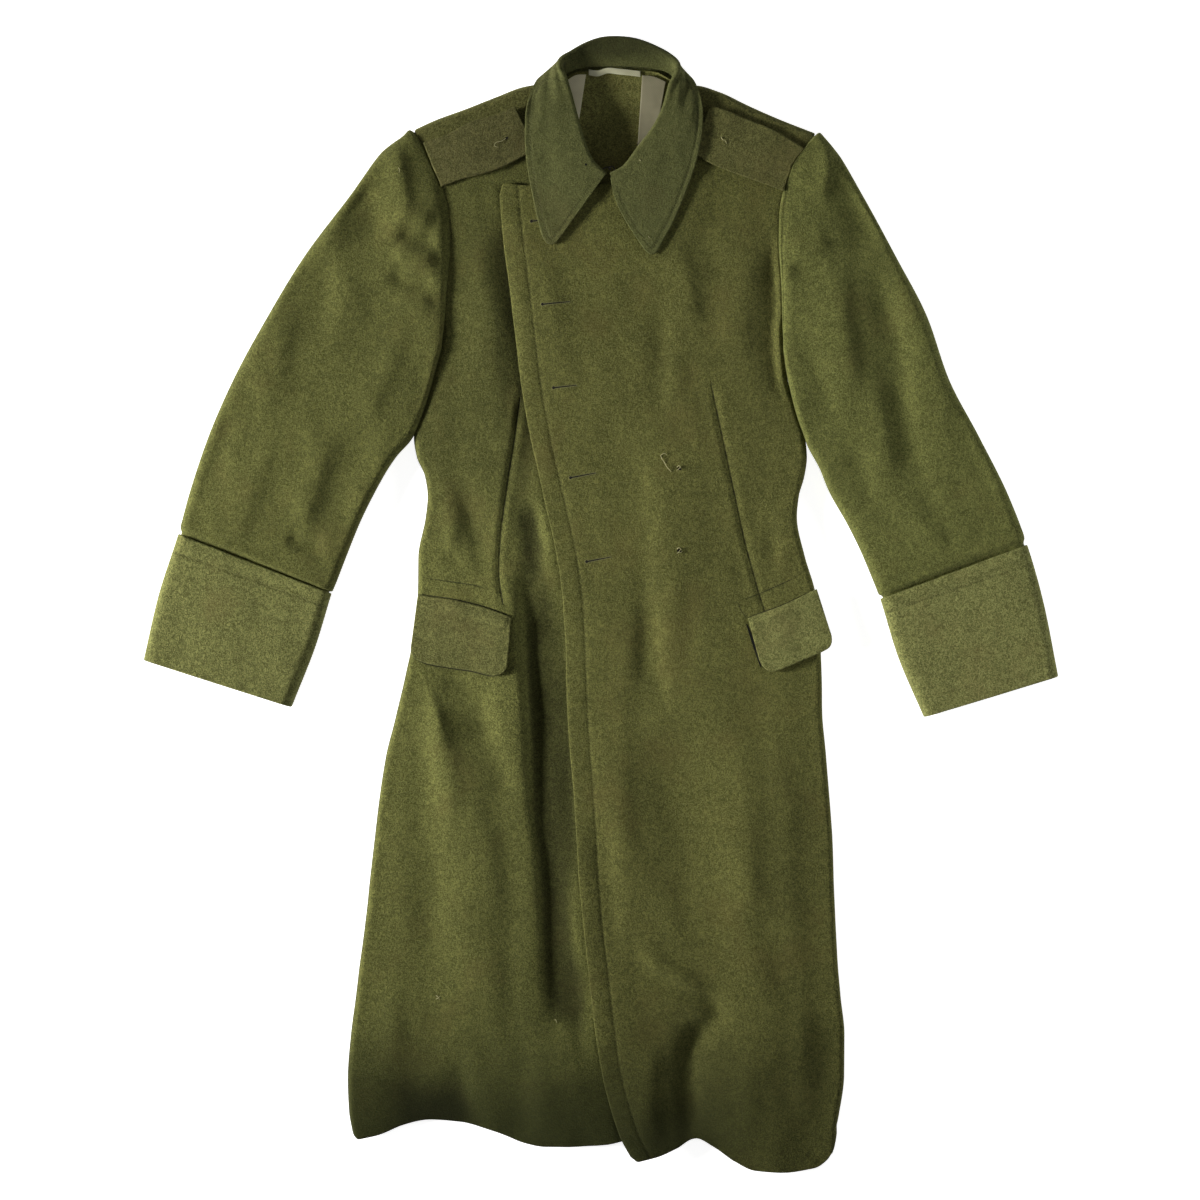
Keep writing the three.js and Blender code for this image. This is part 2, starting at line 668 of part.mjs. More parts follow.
const SLEEVE_STATIONS = [0, 0.035, 0.09, 0.16, 0.24, 0.32, 0.41, 0.5, 0.59, 0.68, 0.75, 0.79, 0.818,
  0.88, 0.94, 1];

function sleeve(rows, column) {
  const cuffAt = CUFF_START / (rows.length - 1);
  const section = (fraction, depth) => {
    const inCuff = smooth(cuffAt + SLEEVE_NARROWS.from, cuffAt + SLEEVE_NARROWS.to, fraction);
    const shrink = inCuff * (CUFF_WOOL + CUFF_EASE);
    const height = readAlong(rows, fraction, 'height') - 2 * shrink;
    const crown = SLEEVE_CROWN * smooth(0, 0.12, fraction) * (1 - inCuff);
    return tubeLoop(sleevePlan(rows, column, fraction, shrink), shrink, height, crown, depth);
  };
  const grid = (depth) => SLEEVE_STATIONS.map((fraction) => section(fraction, depth));
  return wall(grid(0), grid(WOOL), true);
}

function cuff(rows, column) {
  const cuffAt = CUFF_START / (rows.length - 1);
  const section = (fraction, depth) => {
    const height = readAlong(rows, fraction, 'height');
    return tubeLoop(sleevePlan(rows, column, fraction, 0), 0, height, CUFF_CROWN, depth);
  };
  const stations = [0, 0.08, 0.3, 0.55, 0.8, 1];
  const grid = (depth) => stations.map((t) => section(mix(cuffAt, 1, t), depth));
  return wall(grid(0), grid(CUFF_WOOL), true);
}

// Frame of a collar section: its roll's centre, and unit steps outward and upward.
function collarFrame(row) {
  return {
    centre: new THREE.Vector3(row.rollX, row.rollY, row.rollZ),
    outward: new THREE.Vector3(Math.cos(radians(row.out)), Math.sin(radians(row.out)), 0),
    upward: new THREE.Vector3(0, 0, 1),
    edge: new THREE.Vector3(row.edgeX, row.edgeY, row.edgeZ),
    neck: new THREE.Vector3(row.neckX, row.neckY, row.neckZ),
  };
}
const onRoll = ({ centre, outward, upward }, angle, radius) => centre.clone()
  .addScaledVector(outward, Math.cos(radians(angle)) * radius)
  .addScaledVector(upward, Math.sin(radians(angle)) * radius);

// Curve from one point to another that leaves the first along a direction.
function sweep(from, direction, to, t) {
  const control = from.clone().addScaledVector(direction, from.distanceTo(to) * 0.45);
  return from.clone().multiplyScalar((1 - t) ** 2)
    .addScaledVector(control, 2 * t * (1 - t))
    .addScaledVector(to, t * t);
}

function fallSection(row) {
  const frame = collarFrame(row);
  const leaving = onRoll(frame, -row.lean, 1).sub(frame.centre);
  const roll = [onRoll(frame, -90 - row.lean, COLLAR_ROLL).addScaledVector(leaving, ROLL_LEAD)];
  for (let k = 0; k <= ROLL_STEPS; k += 1) {
    roll.push(onRoll(frame, -90 - row.lean - (180 * k) / ROLL_STEPS, COLLAR_ROLL));
  }
  const from = roll[roll.length - 1];
  const fall = [];
  for (let k = 1; k <= FALL_STEPS; k += 1) {
    fall.push(sweep(from, leaving, frame.edge, k / FALL_STEPS));
  }
  return [...roll, ...fall];
}

function standSection(row) {
  const frame = collarFrame(row);
  const end = onRoll(frame, -90 - row.lean, COLLAR_ROLL);
  const leaving = onRoll(frame, -row.lean, 1).sub(frame.centre);
  end.addScaledVector(leaving, ROLL_LEAD + 4 * SEAM_GAP);
  return [0, 0.33, 0.67, 1].map((t) => sweep(end, leaving, frame.neck, t));
}

// Wall of a given thickness about a middle surface, half to each side along its normals.
function thicken(middle, thickness) {
  const rows = middle.length;
  const columns = middle[0].length;
  const offset = (side) => middle.map((line, i) => line.map((point, j) => {
    const along = middle[Math.min(i + 1, rows - 1)][j].clone().sub(middle[Math.max(i - 1, 0)][j]);
    const across = middle[i][Math.min(j + 1, columns - 1)].clone().sub(middle[i][Math.max(j - 1, 0)]);
    const normal = along.cross(across).normalize();
    return point.clone().addScaledVector(normal, (side * thickness) / 2).toArray();
  }));
  return wall(offset(1), offset(-1));
}

const collarFall = () => thicken(COLLAR.map(fallSection), COLLAR_WOOL);
const collarStand = () => thicken(COLLAR.map(standSection), COLLAR_WOOL);

// Nothing that lies on the body above the armpits reaches past an armhole seam.
function insideArmholes(x, y) {
  if (y < ARMPIT.high) return x;
  return clamp(x, read(SIDES, 'y', y, 'left') + 1, read(SIDES, 'y', y, 'right') - 1);
}

// Piece lying on a face: a surface spanned between two long sides, lifted off the face below.
function laidPiece({ high, low }, rows, face, thickness) {
  const place = ([highX, highY], [lowX, lowY], t, lift) => {
    const y = mix(highY, lowY, t);
    const x = insideArmholes(mix(highX, lowX, t), y);
    return [x, y, face(x, y) + lift];
  };
  const grid = (lift) => Array.from({ length: rows + 1 }, (_, i) =>
    high.map((point, j) => place(point, low[j], i / rows, lift)));
  return wall(grid(thickness + LAID_GAP), grid(LAID_GAP));
}

// Height of the fronts' top face near a side, where it comes down to the side fold.
const nearSide = (x, y, height) => {
  const side = x < 0 ? read(SIDES, 'y', y, 'left') : read(SIDES, 'y', y, 'right');
  const inside = (x < 0 ? x - side : side - x) - FOLD_RADIUS;
  const drop = clamp(-inside, 0, FOLD_RADIUS);
  const onFold = Math.min(STIFF_DROP, FOLD_RADIUS - Math.sqrt(FOLD_RADIUS ** 2 - drop ** 2));
  return 2 * FOLD_RADIUS + smooth(0, EDGE_BAND, inside) * (height(x, y) - 2 * FOLD_RADIUS) - onFold;
};

function strap(outline) {
  const face = (x, y) => Math.max(nearSide(x, y, x < 0 ? underTop : overTop), 2 * FOLD_RADIUS);
  return laidPiece(outline, 4, face, TRIM_WOOL);
}
const flap = (outline, height) =>
  laidPiece(outline, 5, (x, y) => nearSide(x, y, height), TRIM_WOOL);
const neckLining = (outline) =>
  laidPiece(outline, 6, (x, y) => neckRaise(x, y) + WOOL + LINING_EASE, LINING);

// A flat ribbon from one end of the back neck seam to the other.
function hangerLoop() {
  const across = (tilt, w) => [w * Math.cos(radians(tilt)), w * Math.sin(radians(tilt))];
  const middle = HANGER.map(({ x, y, z, tilt }) => [-HANGER_WIDTH / 2, 0, HANGER_WIDTH / 2]
    .map((w) => across(tilt, w))
    .map(([along, up]) => new THREE.Vector3(x, y + along, z + up)));
  return thicken(middle, TAPE);
}

function bentWire(points) {
  const path = new THREE.CatmullRomCurve3(points.map((point) => new THREE.Vector3(...point)));
  const circle = new THREE.Shape().absarc(0, 0, WIRE, 0, 2 * Math.PI);
  const options = { extrudePath: path, steps: 12, curveSegments: 4, bevelEnabled: false };
  return new THREE.ExtrudeGeometry(circle, options);
}

function piece(name, geometry, material) {
  const mesh = new THREE.Mesh(geometry, material);
  mesh.name = name;
  return mesh;
}

const coat = new THREE.Group();
coat.add(
  piece('back', back(), wool()),
  piece('front_under', frontUnder(), wool(0x5a5a33)),
  piece('front_over', frontOver(), wool()),
  piece('sleeve_left', sleeve(LEFT_SLEEVE, 'left'), wool(0x606137)),
  piece('sleeve_right', sleeve(RIGHT_SLEEVE, 'right'), wool(0x585a34)),
  piece('cuff_left', cuff(LEFT_SLEEVE, 'left'), wool(0x6b6b40)),
  piece('cuff_right', cuff(RIGHT_SLEEVE, 'right'), wool(0x65673e)),
  piece('collar_stand', collarStand(), wool(0x3d3e28)),
  piece('collar_fall', collarFall(), wool(0x505134)),
  piece('shoulder_strap_left', strap(LEFT_STRAP), wool()),
  piece('shoulder_strap_right', strap(RIGHT_STRAP), wool()),
  piece('pocket_flap_left', flap(LEFT_FLAP, underTop), wool()),
  piece('pocket_flap_right', flap(RIGHT_FLAP, overTop), wool()),
  piece('lining_left', neckLining(LEFT_LINING), liningCloth()),
  piece('lining_right', neckLining(RIGHT_LINING), liningCloth()),
  piece('hanger_loop', hangerLoop(), liningCloth()),
  piece('hook', bentWire(HOOK), blackWire()),
  piece('eye', bentWire(EYE), blackWire()),
);

export default coat;
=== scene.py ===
"""Looks of a military greatcoat laid flat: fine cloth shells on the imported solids' forms.

Lengths are in millimetres until a mesh is made, because the part's own tables are. +X runs to the
right of the coat as it is looked down on, +Y from the hem to the collar, and +Z up from the floor.
"""

import math

import bpy
import numpy as np
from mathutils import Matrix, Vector
from mathutils.bvhtree import BVHTree


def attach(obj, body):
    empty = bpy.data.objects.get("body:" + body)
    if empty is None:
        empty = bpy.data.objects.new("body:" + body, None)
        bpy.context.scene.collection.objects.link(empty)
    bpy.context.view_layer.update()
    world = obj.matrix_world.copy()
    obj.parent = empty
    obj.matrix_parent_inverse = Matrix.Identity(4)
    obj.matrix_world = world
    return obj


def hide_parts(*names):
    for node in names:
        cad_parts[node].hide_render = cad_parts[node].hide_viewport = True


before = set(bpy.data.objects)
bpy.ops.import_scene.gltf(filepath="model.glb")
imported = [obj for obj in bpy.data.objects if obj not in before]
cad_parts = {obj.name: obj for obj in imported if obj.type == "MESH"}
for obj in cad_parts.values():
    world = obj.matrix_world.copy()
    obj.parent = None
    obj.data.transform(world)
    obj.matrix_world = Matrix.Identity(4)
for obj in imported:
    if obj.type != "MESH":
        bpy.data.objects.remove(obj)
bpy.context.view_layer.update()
MM = 0.001

# Cloth, as in the part
WOOL = 2.6
COLLAR_WOOL = 2.2
CUFF_WOOL = 2.8
CUFF_EASE = 0.6
TRIM_WOOL = 2.8
LINING = 1.0
SEAM_GAP = 0.35
FOLD_RADIUS = 7
SIDE_TOP_FACE = 2 * FOLD_RADIUS
CHEST_TOP = 15
LAP_LIFT = 3.4
LAP_WIDTH = 146
HEM_SINK = 5  # the fronts come down this much towards the hem
HEM_CORNER = 7  # radius of the hem's corners at the side folds
LOWEST_TOP = 6.5  # a front's top face never comes lower, so its underside clears the back
ARMHOLE_HOLLOW = 5.2  # depth of the hollow beside the lower part of the right armhole
LAP_RISE = 2.2  # the lap's edge stands up this much more towards its foot
COVERED_SINK = 6.0  # lower than in the solids, so that the lap can follow its own creases
COVERED_SPREAD = 1.5
SEAM_RETURN = 18
COLLAR_ROLL = 2.8
ROLL_LEAD = 1
LAID_GAP = 0.97
ARMHOLE_GAP = 1.4
ARMHOLE_SEAM = -2.0  # the visible seam is drawn shut
ARMHOLE_REACH = 0.42
SIDE_HEM = -590
SIDE_TOP = 516
ARMPIT_LOW, ARMPIT_HIGH = 258, 326
ARMHOLE_TURN = 0.15
BACK_HEM_SHORT = 5
EDGE_BAND = 45
STIFF_DROP = 1.2
SLEEVE_CROWN = 2.5
HEAD_BUMP = 3.2  # the roped sleeve head stands this far past the shoulder's line
HEAD_CUT = 2.8  # its corner at the shoulder is rounded off by this
ARMPIT_CLOSE = {"left": 4.8, "right": 6.6}  # sleeves lie this much nearer the body
CUFF_CROWN = 1.2
CUFF_START = 9
NECK_LIFT = 4.6
NECK_TURN_LENGTH = 2

# Sewing
STITCH_FROM_EDGE = 21.5  # topstitching of the lap, from its free edge
FLAP_SEAM = 0.7  # a flap's seam lies this far above its upper edge
COLLAR_STITCH = 6  # topstitching of the collar, from its free edge
CUFF_STITCH_OUTER, CUFF_STITCH_INNER = 21, 16  # below a cuff's top edge
FAR = 99.0  # distance written where a piece has no line of that kind


def table(names, rows):
    """Rows of numbers as named columns."""
    return dict(zip(names, np.array(rows, float).T))


SIDES = table(("y", "left", "right"), [
    (-590, -273, 261), (-563, -277, 264), (-519, -279, 269), (-475, -276, 269),
    (-431, -270, 265), (-343, -259, 259), (-255, -249, 256), (-167, -237, 249),
    (-123, -226, 245), (-79, -216, 244), (-35, -207, 242), (9, -202, 238),
    (53, -201, 226), (97, -193, 217), (119, -191, 219), (141, -194, 225),
    (163, -203, 228), (185, -206, 226), (212, -196, 217), (252, -185, 206),
    (290, -176, 203), (350, -171, 201), (400, -167.5, 198), (430, -169, 198.5),
    (457, -175.5, 203), (484, -187, 212), (505, -197, 228), (518, -206, 238),
])
LAP_EDGE = table(("y", "x"), [
    (-614, 37), (-584, 21), (-511, 0), (-433, -10), (-325, -22), (-214, -29), (-135, -35),
    (1, -41), (64, -50), (108, -60), (180, -76), (234, -86), (332, -98), (434, -110),
    (459, -112),
])
HEM_UNDER = table(("x", "y"), [
    (-273, -590), (-262, -588), (-246, -585), (-215, -574), (-182, -568), (-149, -570),
    (-116, -580), (-83, -593), (-60, -597), (0, -596), (40, -588), (110, -582), (190, -586),
])
HEM_OVER = table(("x", "y"), [
    (37, -614), (65, -608), (90, -599), (115, -588), (131, -598), (148, -613), (170, -623),
    (200, -625.5), (235, -621), (250, -611), (261, -590),
])
TOP_UNDER = table(("x", "y"), [
    (-187, 484), (-120, 508), (-62, 532), (-52, 502), (-42, 484), (-24, 468), (10, 463),
    (105, 455),
])
TOP_OVER = table(("x", "y"), [
    (-112, 459), (-106, 464), (-82, 461), (22, 463), (50, 470), (72, 483), (88, 502),
    (101, 530), (150, 510), (212, 484),
])
SHOULDERS = table(("x", "y", "turn"), [
    (-206, 523, 1), (-182, 534, 1), (-149, 546, 1), (-116, 559, 1), (-83, 571, 1),
    (-68, 573, 1), (-58, 573, 0.8), (-45, 576.5, 0.25), (-24, 586, 0.15), (24, 588.5, 0.15),
    (58, 587, 0.15), (84, 575, 0.25), (97, 572, 0.8), (105, 572, 1), (131, 565, 1),
    (164, 549.5, 1), (197, 535, 1), (238, 519, 1),
])
NECK_LEFT, NECK_RIGHT = -64, 101
SLEEVE_COLUMNS = ("outerX", "outerY", "innerX", "innerY", "height")
LEFT_SLEEVE = table(SLEEVE_COLUMNS, [
    (-207.5, 523, -178, 296, 14.5), (-218, 517, -180, 286, 18), (-240, 501, -184, 268, 19),
    (-278, 449, -196, 222, 18), (-327, 383, -211, 184, 18), (-367, 317, -236, 146, 19),
    (-403, 251, -264, 92, 19), (-432, 185, -281, 50, 19), (-453, 122, -291, 24, 20),
    (-465, 78, -296, 12, 21), (-487, 9, -313, -44, 23), (-503, -61, -340, -113, 24),
])
RIGHT_SLEEVE = table(SLEEVE_COLUMNS, [
    (239.5, 519, 205, 296, 14.5), (249, 515, 206, 286, 18), (264, 497, 208, 266, 20),
    (291, 449, 218, 218, 20), (327, 381, 234, 172, 19), (360, 317, 251, 126, 19),
    (384, 248, 271, 90, 20), (417, 185, 286, 60, 20), (449, 121, 297, 34, 20),
    (470, 66, 308, 6, 21), (488, 2, 327, -56, 23), (504, -79, 356, -124, 24),
])
COLLAR = table(("rollX", "rollY", "rollZ", "out", "lean", "edgeX", "edgeY", "edgeZ",
                "neckX", "neckY", "neckZ"), [
    (4.5, 470.5, 21.5, 234, 0, -49, 396, 20.4, -4, 467.5, 15.2),
    (-10, 485, 21.8, 215, 0, -66, 414, 20.4, -22, 471, 15),
    (-20, 506.5, 22, 200, 0, -75, 450, 20.6, -38.5, 487, 15),
    (-26.5, 529, 22, 190, 0, -81.5, 488, 21, -48.5, 506, 15),
    (-33, 553, 22, 185, 0, -83, 521, 21.4, -55, 530, 15),
    (-39, 577, 21.5, 172, 30, -80.5, 549, 21.2, -52, 556, 14),
    (-42, 594, 18.5, 150, 85, -70, 577, 12, -40.5, 581, 10),
    (-30.5, 606, 12.5, 125, 145, -51, 584, 2.2, -31, 588.5, 7.8),
    (-15, 616.2, 8, 105, 175, -24, 572, 1.2, -15, 592, 7.6),
    (4, 622.4, 6.6, 92, 180, 2, 568, 1.2, 4, 593, 7.6),
    (28, 622.4, 6.6, 88, 180, 29, 568, 1.2, 28, 593, 7.6),
    (49, 617.2, 8, 75, 175, 54, 572, 1.2, 50, 592, 7.6),
    (74.5, 603.8, 12.5, 55, 145, 89, 583, 2.2, 72, 587, 7.8),
    (85, 590, 18.5, 30, 85, 102, 577, 12, 81, 578, 10),
    (78, 570.5, 21.5, 8, 30, 111.5, 551, 21.2, 91, 553, 14),
    (71, 544.5, 22, -5, 0, 112, 521, 21.4, 94, 528, 15),
    (59.5, 522, 22, -12, 0, 106, 489, 21, 84, 505, 15),
    (43.5, 500.5, 22, -25, 0, 94, 453, 20.6, 68.5, 486, 15),
    (28, 480, 21.8, -42, 0, 74, 409, 20.4, 46, 473, 15),
    (11.5, 470.5, 21.5, -64, 0, 50, 387.5, 20.4, 21, 467.5, 15.2),
])
LEFT_STRAP = (
    [(-195, 508), (-181, 512.5), (-168, 517), (-141, 531), (-116, 538), (-94, 547)],
    [(-176, 459), (-165, 463), (-154, 467), (-130, 473), (-109, 480), (-70, 500)])
RIGHT_STRAP = (
    [(226, 501), (207, 512), (189, 522), (158, 535), (130, 546), (119, 545)],
    [(202, 454), (189, 459), (175, 464), (141, 476), (116, 487), (100, 497)])
LEFT_FLAP = (
    [(-201, 11), (-198.5, 10.8), (-194, 10), (-181, 8), (-161, 5), (-135, -1), (-116, -7),
     (-98, -14)],
    [(-210, -57), (-207, -58.5), (-201, -61), (-190, -65), (-168, -69), (-141, -73),
     (-120, -78), (-103, -76)])
RIGHT_FLAP = (
    [(162, -15), (181, -8), (198, -2), (217, 7), (229, 13), (234, 15.5), (238, 17)],
    [(177, -70), (190, -74), (209, -67), (228, -59), (242, -53), (251, -48), (257, -43)])
LEFT_LINING = ([(-40, 575), (-28, 583), (-16, 584)], [(-44, 540), (-34, 534), (-24, 532)])
RIGHT_LINING = ([(46, 583), (58, 582), (72, 576)], [(40, 492), (50, 497), (60, 508)])
HANGER = table(("x", "y", "z", "tilt"), [
    (-13, 586.5, 9.1, 0), (-3, 585, 9.7, 10), (8, 588, 10.9, 30), (20, 587, 10.5, 10),
    (32, 586, 9.7, 0), (44, 584.5, 9.1, 0),
])
HANGER_WIDTH = 6.4

# Folds of the solids: height, half width, line.
FOLDS = [
    (-6.5, 11, [(-84, 20), (-72, -110), (-64, -220), (-54, -330), (-50, -470)]),
    (2.5, 9, [(-98, 40), (-90, -60), (-80, -160)]),
    (-3.5, 13, [(-112, 400), (-106, 300), (-98, 200)]),
    (4, 16, [(-196, -80), (-184, -127), (-168, -204), (-158, -262)]),
    (-3, 22, [(-150, -95), (-130, -160)]),
    (3.5, 26, [(-150, -270), (-140, -400), (-150, -480)]),
    (-3.5, 34, [(-230, -500), (-185, -560), (-175, -600)]),
    (5, 46, [(-60, -500), (-48, -620)]),
    (-5.5, 12, [(49, -408), (87, -424), (116, -434), (127, -453), (108, -475), (97, -505),
                (102, -610)]),
    (8, 44, [(176, -430), (190, -540), (195, -640)]),
    (4, 34, [(50, -520), (54, -640)]),
    (3, 24, [(150, -240), (165, -380), (172, -450)]),
    (-2.5, 11, [(52, 90), (48, -60), (50, -120)]),
]
TROUGHS = [fold for fold in FOLDS if fold[0] < 0]

# Creases too fine for the solids: height, half width on the left and on the right of the line as
# it is followed, line.
CREASES_LEFT = [
    (-5.2, 14, 27, [(-70, 84), (-61, -20), (-58, -90), (-55, -150), (-52, -220)]),
    (-7.0, 24, 20, [(-57, -110), (-51, -200), (-46, -280), (-42, -375), (-34, -450), (-26, -510)]),
    (2.8, 13, 30, [(-108, 40), (-101, -60), (-95, -160), (-88, -240)]),
    (-3.6, 6, 14, [(-49, 90), (-45, 40), (-39, -60), (-35, -134), (-30, -244), (-22, -340)]),
    (3.2, 6, 9, [(-212, -30), (-201, -64), (-190, -92), (-179, -124), (-166, -170)]),
    (-3.4, 14, 34, [(-86, 200), (-80, 110), (-72, 20)]),
    (5.0, 22, 30, [(-192, -86), (-172, -140), (-150, -200), (-128, -262), (-116, -330),
                   (-110, -400)]),
    (-2.4, 12, 12, [(-138, -96), (-118, -160), (-98, -230)]),
    (-2.2, 24, 22, [(-214, -120), (-206, -200), (-196, -280)]),
    (-2.6, 10, 12, [(-180, -82), (-150, -92), (-112, -98)]),
    (2.6, 14, 16, [(-208, -90), (-214, -150), (-222, -220)]),
    (-2.4, 14, 22, [(-196, -230), (-188, -320), (-186, -410)]),
    (-2.4, 16, 24, [(-112, -230), (-104, -320), (-96, -410)]),
    (2.2, 16, 22, [(-126, -360), (-120, -430), (-118, -500)]),
    (2.4, 18, 26, [(-238, -380), (-232, -460), (-236, -540)]),
    (-2.2, 14, 20, [(-160, -470), (-156, -530), (-158, -590)]),
    (2.0, 14, 18, [(-130, -500), (-122, -550), (-116, -600)]),
    (-2.2, 14, 18, [(-94, -480), (-86, -540), (-84, -600)]),
    (-3.5, 10, 16, [(-38, -370), (-26, -440), (-14, -500), (4, -560), (16, -600)]),
    (-5.0, 8, 17, [(-103, 462), (-99, 385), (-91, 320), (-81, 240), (-73, 180), (-67, 120)]),
    (2.6, 13, 12, [(-112, 400), (-106, 300), (-98, 200)]),
    (1.2, 11, 26, [(-136, 430), (-125, 340), (-114, 240), (-104, 170)]),
    (-1.6, 10, 14, [(-168, 330), (-162, 270), (-166, 210)]),
    (3.4, 9, 9, [(-196, 190), (-182, 130), (-167, 88), (-158, 44)]),
    (-3.2, 15, 9, [(-170, 156), (-150, 112), (-134, 62), (-127, 20)]),
    (2.2, 6, 8, [(-194, 100), (-177, 82), (-158, 64)]),
    (-2.5, 6, 8, [(-192, 70), (-172, 57), (-148, 44)]),
    (-1.8, 6, 8, [(-196, 134), (-180, 124), (-160, 120)]),
    (-3.6, 10, 15, [(-78, 120), (-72, 60), (-74, 10)]),
]
CREASES_RIGHT = [
    (-3.4, 26, 34, [(108, 480), (114, 420), (100, 360)]),
    (2.0, 11, 18, [(84, 408), (94, 350), (108, 296)]),
    (-1.8, 12, 18, [(66, 340), (66, 260), (58, 190)]),
    (-4.0, 13, 15, [(192, 384), (189, 330), (184, 285), (178, 236)]),
    (1.6, 16, 22, [(160, 400), (156, 330), (150, 260)]),
    (-0.9, 14, 22, [(44, 176), (40, 110), (46, 48)]),
    (0.9, 16, 22, [(74, 120), (80, 40), (84, -40)]),
    (-2.6, 9, 15, [(56, 12), (60, -60), (73, -130)]),
    (3.0, 9, 12, [(216, 112), (205, 72), (213, 28)]),
    (-2.4, 7, 9, [(226, 84), (206, 70), (184, 62)]),
    (2.0, 7, 9, [(226, 104), (206, 95), (182, 92)]),
    (-2.0, 7, 9, [(224, 130), (206, 118), (188, 114)]),
    (-2.2, 9, 9, [(196, 110), (190, 70), (196, 36)]),
    (-3.4, 38, 34, [(70, -120), (84, -220), (94, -300), (100, -380)]),
    (4.0, 30, 22, [(148, -120), (160, -220), (168, -320), (170, -380)]),
    (2.4, 26, 24, [(198, -110), (202, -240), (206, -400), (202, -540)]),
    (2.0, 14, 12, [(236, -150), (240, -250), (244, -340)]),
    (-0.9, 14, 20, [(212, -340), (210, -410), (218, -470)]),
    (2.0, 16, 22, [(14, -120), (22, -230), (34, -330)]),
    (-1.8, 12, 18, [(-2, -220), (8, -320), (20, -400)]),
    (3.4, 10, 13, [(36, -378), (70, -398), (104, -420), (126, -438)]),
    (-4.2, 26, 32, [(116, -440), (106, -480), (96, -530), (96, -600)]),
    (2.0, 14, 18, [(58, -470), (52, -540), (60, -610)]),
    (2.2, 16, 26, [(150, -490), (158, -550), (156, -610)]),
    (2.0, 18, 22, [(226, -430), (232, -510), (228, -600)]),
    (1.4, 18, 24, [(-60, 380), (-52, 300), (-40, 230)]),
]
CREASES_LEFT_SLEEVE = [
    (-4.0, 9, 15, [(-178, 400), (-200, 402), (-226, 412)]),
    (3.6, 12, 14, [(-180, 418), (-202, 424), (-228, 436)]),
    (3.8, 13, 13, [(-176, 378), (-198, 378), (-232, 388)]),
    (-3.2, 8, 13, [(-180, 356), (-204, 352), (-236, 362)]),
    (2.0, 10, 12, [(-182, 334), (-204, 330), (-230, 336)]),
    (3.4, 9, 13, [(-228, 512), (-219, 470), (-214, 430)]),
    (-4.0, 20, 30, [(-272, 470), (-252, 430), (-240, 396)]),
    (2.6, 20, 28, [(-300, 440), (-292, 370), (-262, 300)]),
    (-3.2, 18, 26, [(-284, 400), (-304, 340), (-322, 270)]),
    (2.4, 16, 24, [(-340, 330), (-356, 270), (-372, 200)]),
    (-2.4, 14, 22, [(-250, 210), (-276, 140), (-298, 80)]),
    (2.0, 12, 18, [(-292, 190), (-318, 120), (-334, 60)]),
    (-1.9, 12, 18, [(-396, 220), (-420, 160), (-434, 100)]),
    (1.8, 12, 18, [(-360, 180), (-384, 120), (-400, 60)]),
    (-3.0, 9, 12, [(-300, 64), (-322, 66), (-348, 76)]),
    (2.0, 12, 18, [(-216, 300), (-236, 250), (-262, 200)]),
]
CREASES_RIGHT_SLEEVE = [
    (3.6, 9, 12, [(252, 512), (248, 474), (240, 436)]),
    (-2.6, 9, 14, [(206, 372), (226, 366), (252, 372)]),
    (2.4, 12, 14, [(206, 396), (228, 392), (256, 400)]),
    (-4.6, 14, 22, [(298, 384), (320, 314), (342, 172), (368, 84)]),
    (-2.8, 14, 20, [(262, 466), (284, 424), (302, 380)]),
    (3.0, 14, 20, [(262, 380), (268, 300), (280, 220)]),
    (2.6, 18, 26, [(340, 372), (362, 280), (392, 190)]),
    (-3.2, 12, 14, [(282, 178), (290, 138), (300, 100)]),
    (-2.0, 12, 20, [(394, 250), (418, 170), (440, 96)]),
    (2.0, 12, 18, [(330, 130), (350, 90), (390, 70)]),
    (-2.0, 16, 24, [(300, 470), (306, 430), (316, 390)]),
    (-2.2, 10, 16, [(226, 300), (244, 240), (262, 190)]),
    (2.0, 12, 16, [(300, 250), (312, 190), (318, 140)]),
]
# Soft ridges of the collar's fall: height, place and half width down the fall, place and half
# length round the collar.
COLLAR_RIDGES = [
    (1.8, 0.22, 0.09, 5.0, 0.9), (-1.2, 0.42, 0.1, 5.1, 0.8), (1.0, 0.62, 0.12, 4.4, 0.9),
    (1.6, 0.25, 0.1, 13.9, 0.9), (-1.1, 0.45, 0.1, 13.8, 0.9), (0.9, 0.66, 0.12, 14.6, 1.0),
    (-0.9, 0.5, 0.2, 2.6, 0.9), (0.8, 0.4, 0.2, 17.0, 0.9),
]
# Sewing lines.
DART_LEFT = [(-88.6, 227), (-95, 181), (-102, 137), (-107, 101), (-110.6, 69), (-111.7, 31),
             (-107.5, 2)]
DART_RIGHT = [(121.6, 241.5), (138, 166), (148, 119), (159, 69), (173.3, 16), (181, -8)]
POCKET_LEFT = [(-192, 29), (-172, 26), (-141, 21.5), (-128, 18)]
POCKET_RIGHT = [(159, 6), (176.6, 12.7), (194, 20.4), (210.7, 28), (226, 38)]
# Buttonholes: the keyhole's end, then the other end.
BUTTONHOLES = [((-77.6, 421), (-50, 424)), ((-65.5, 329.5), (-33.6, 332.8)),
               ((-53.4, 238), (-26, 241)), ((-34.7, 139), (-5, 144.7)),
               ((-17, 46.8), (11.6, 52.3))]

random = np.random.default_rng(11)


def mix(a, b, t):
    return a + (b - a) * t


def smooth(low, high, value):
    t = np.clip((value - low) / (high - low), 0, 1)
    return t * t * (3 - 2 * t)


def bell(distance, width):
    return np.exp(-(distance / width) ** 2)


def spline(a, b, c, d, t):
    """Place between b and c on a smooth line through four points."""
    return 0.5 * (2 * b + (c - a) * t + (2 * a - 5 * b + 4 * c - d) * t ** 2
                  + (3 * b - a - 3 * c + d) * t ** 3)


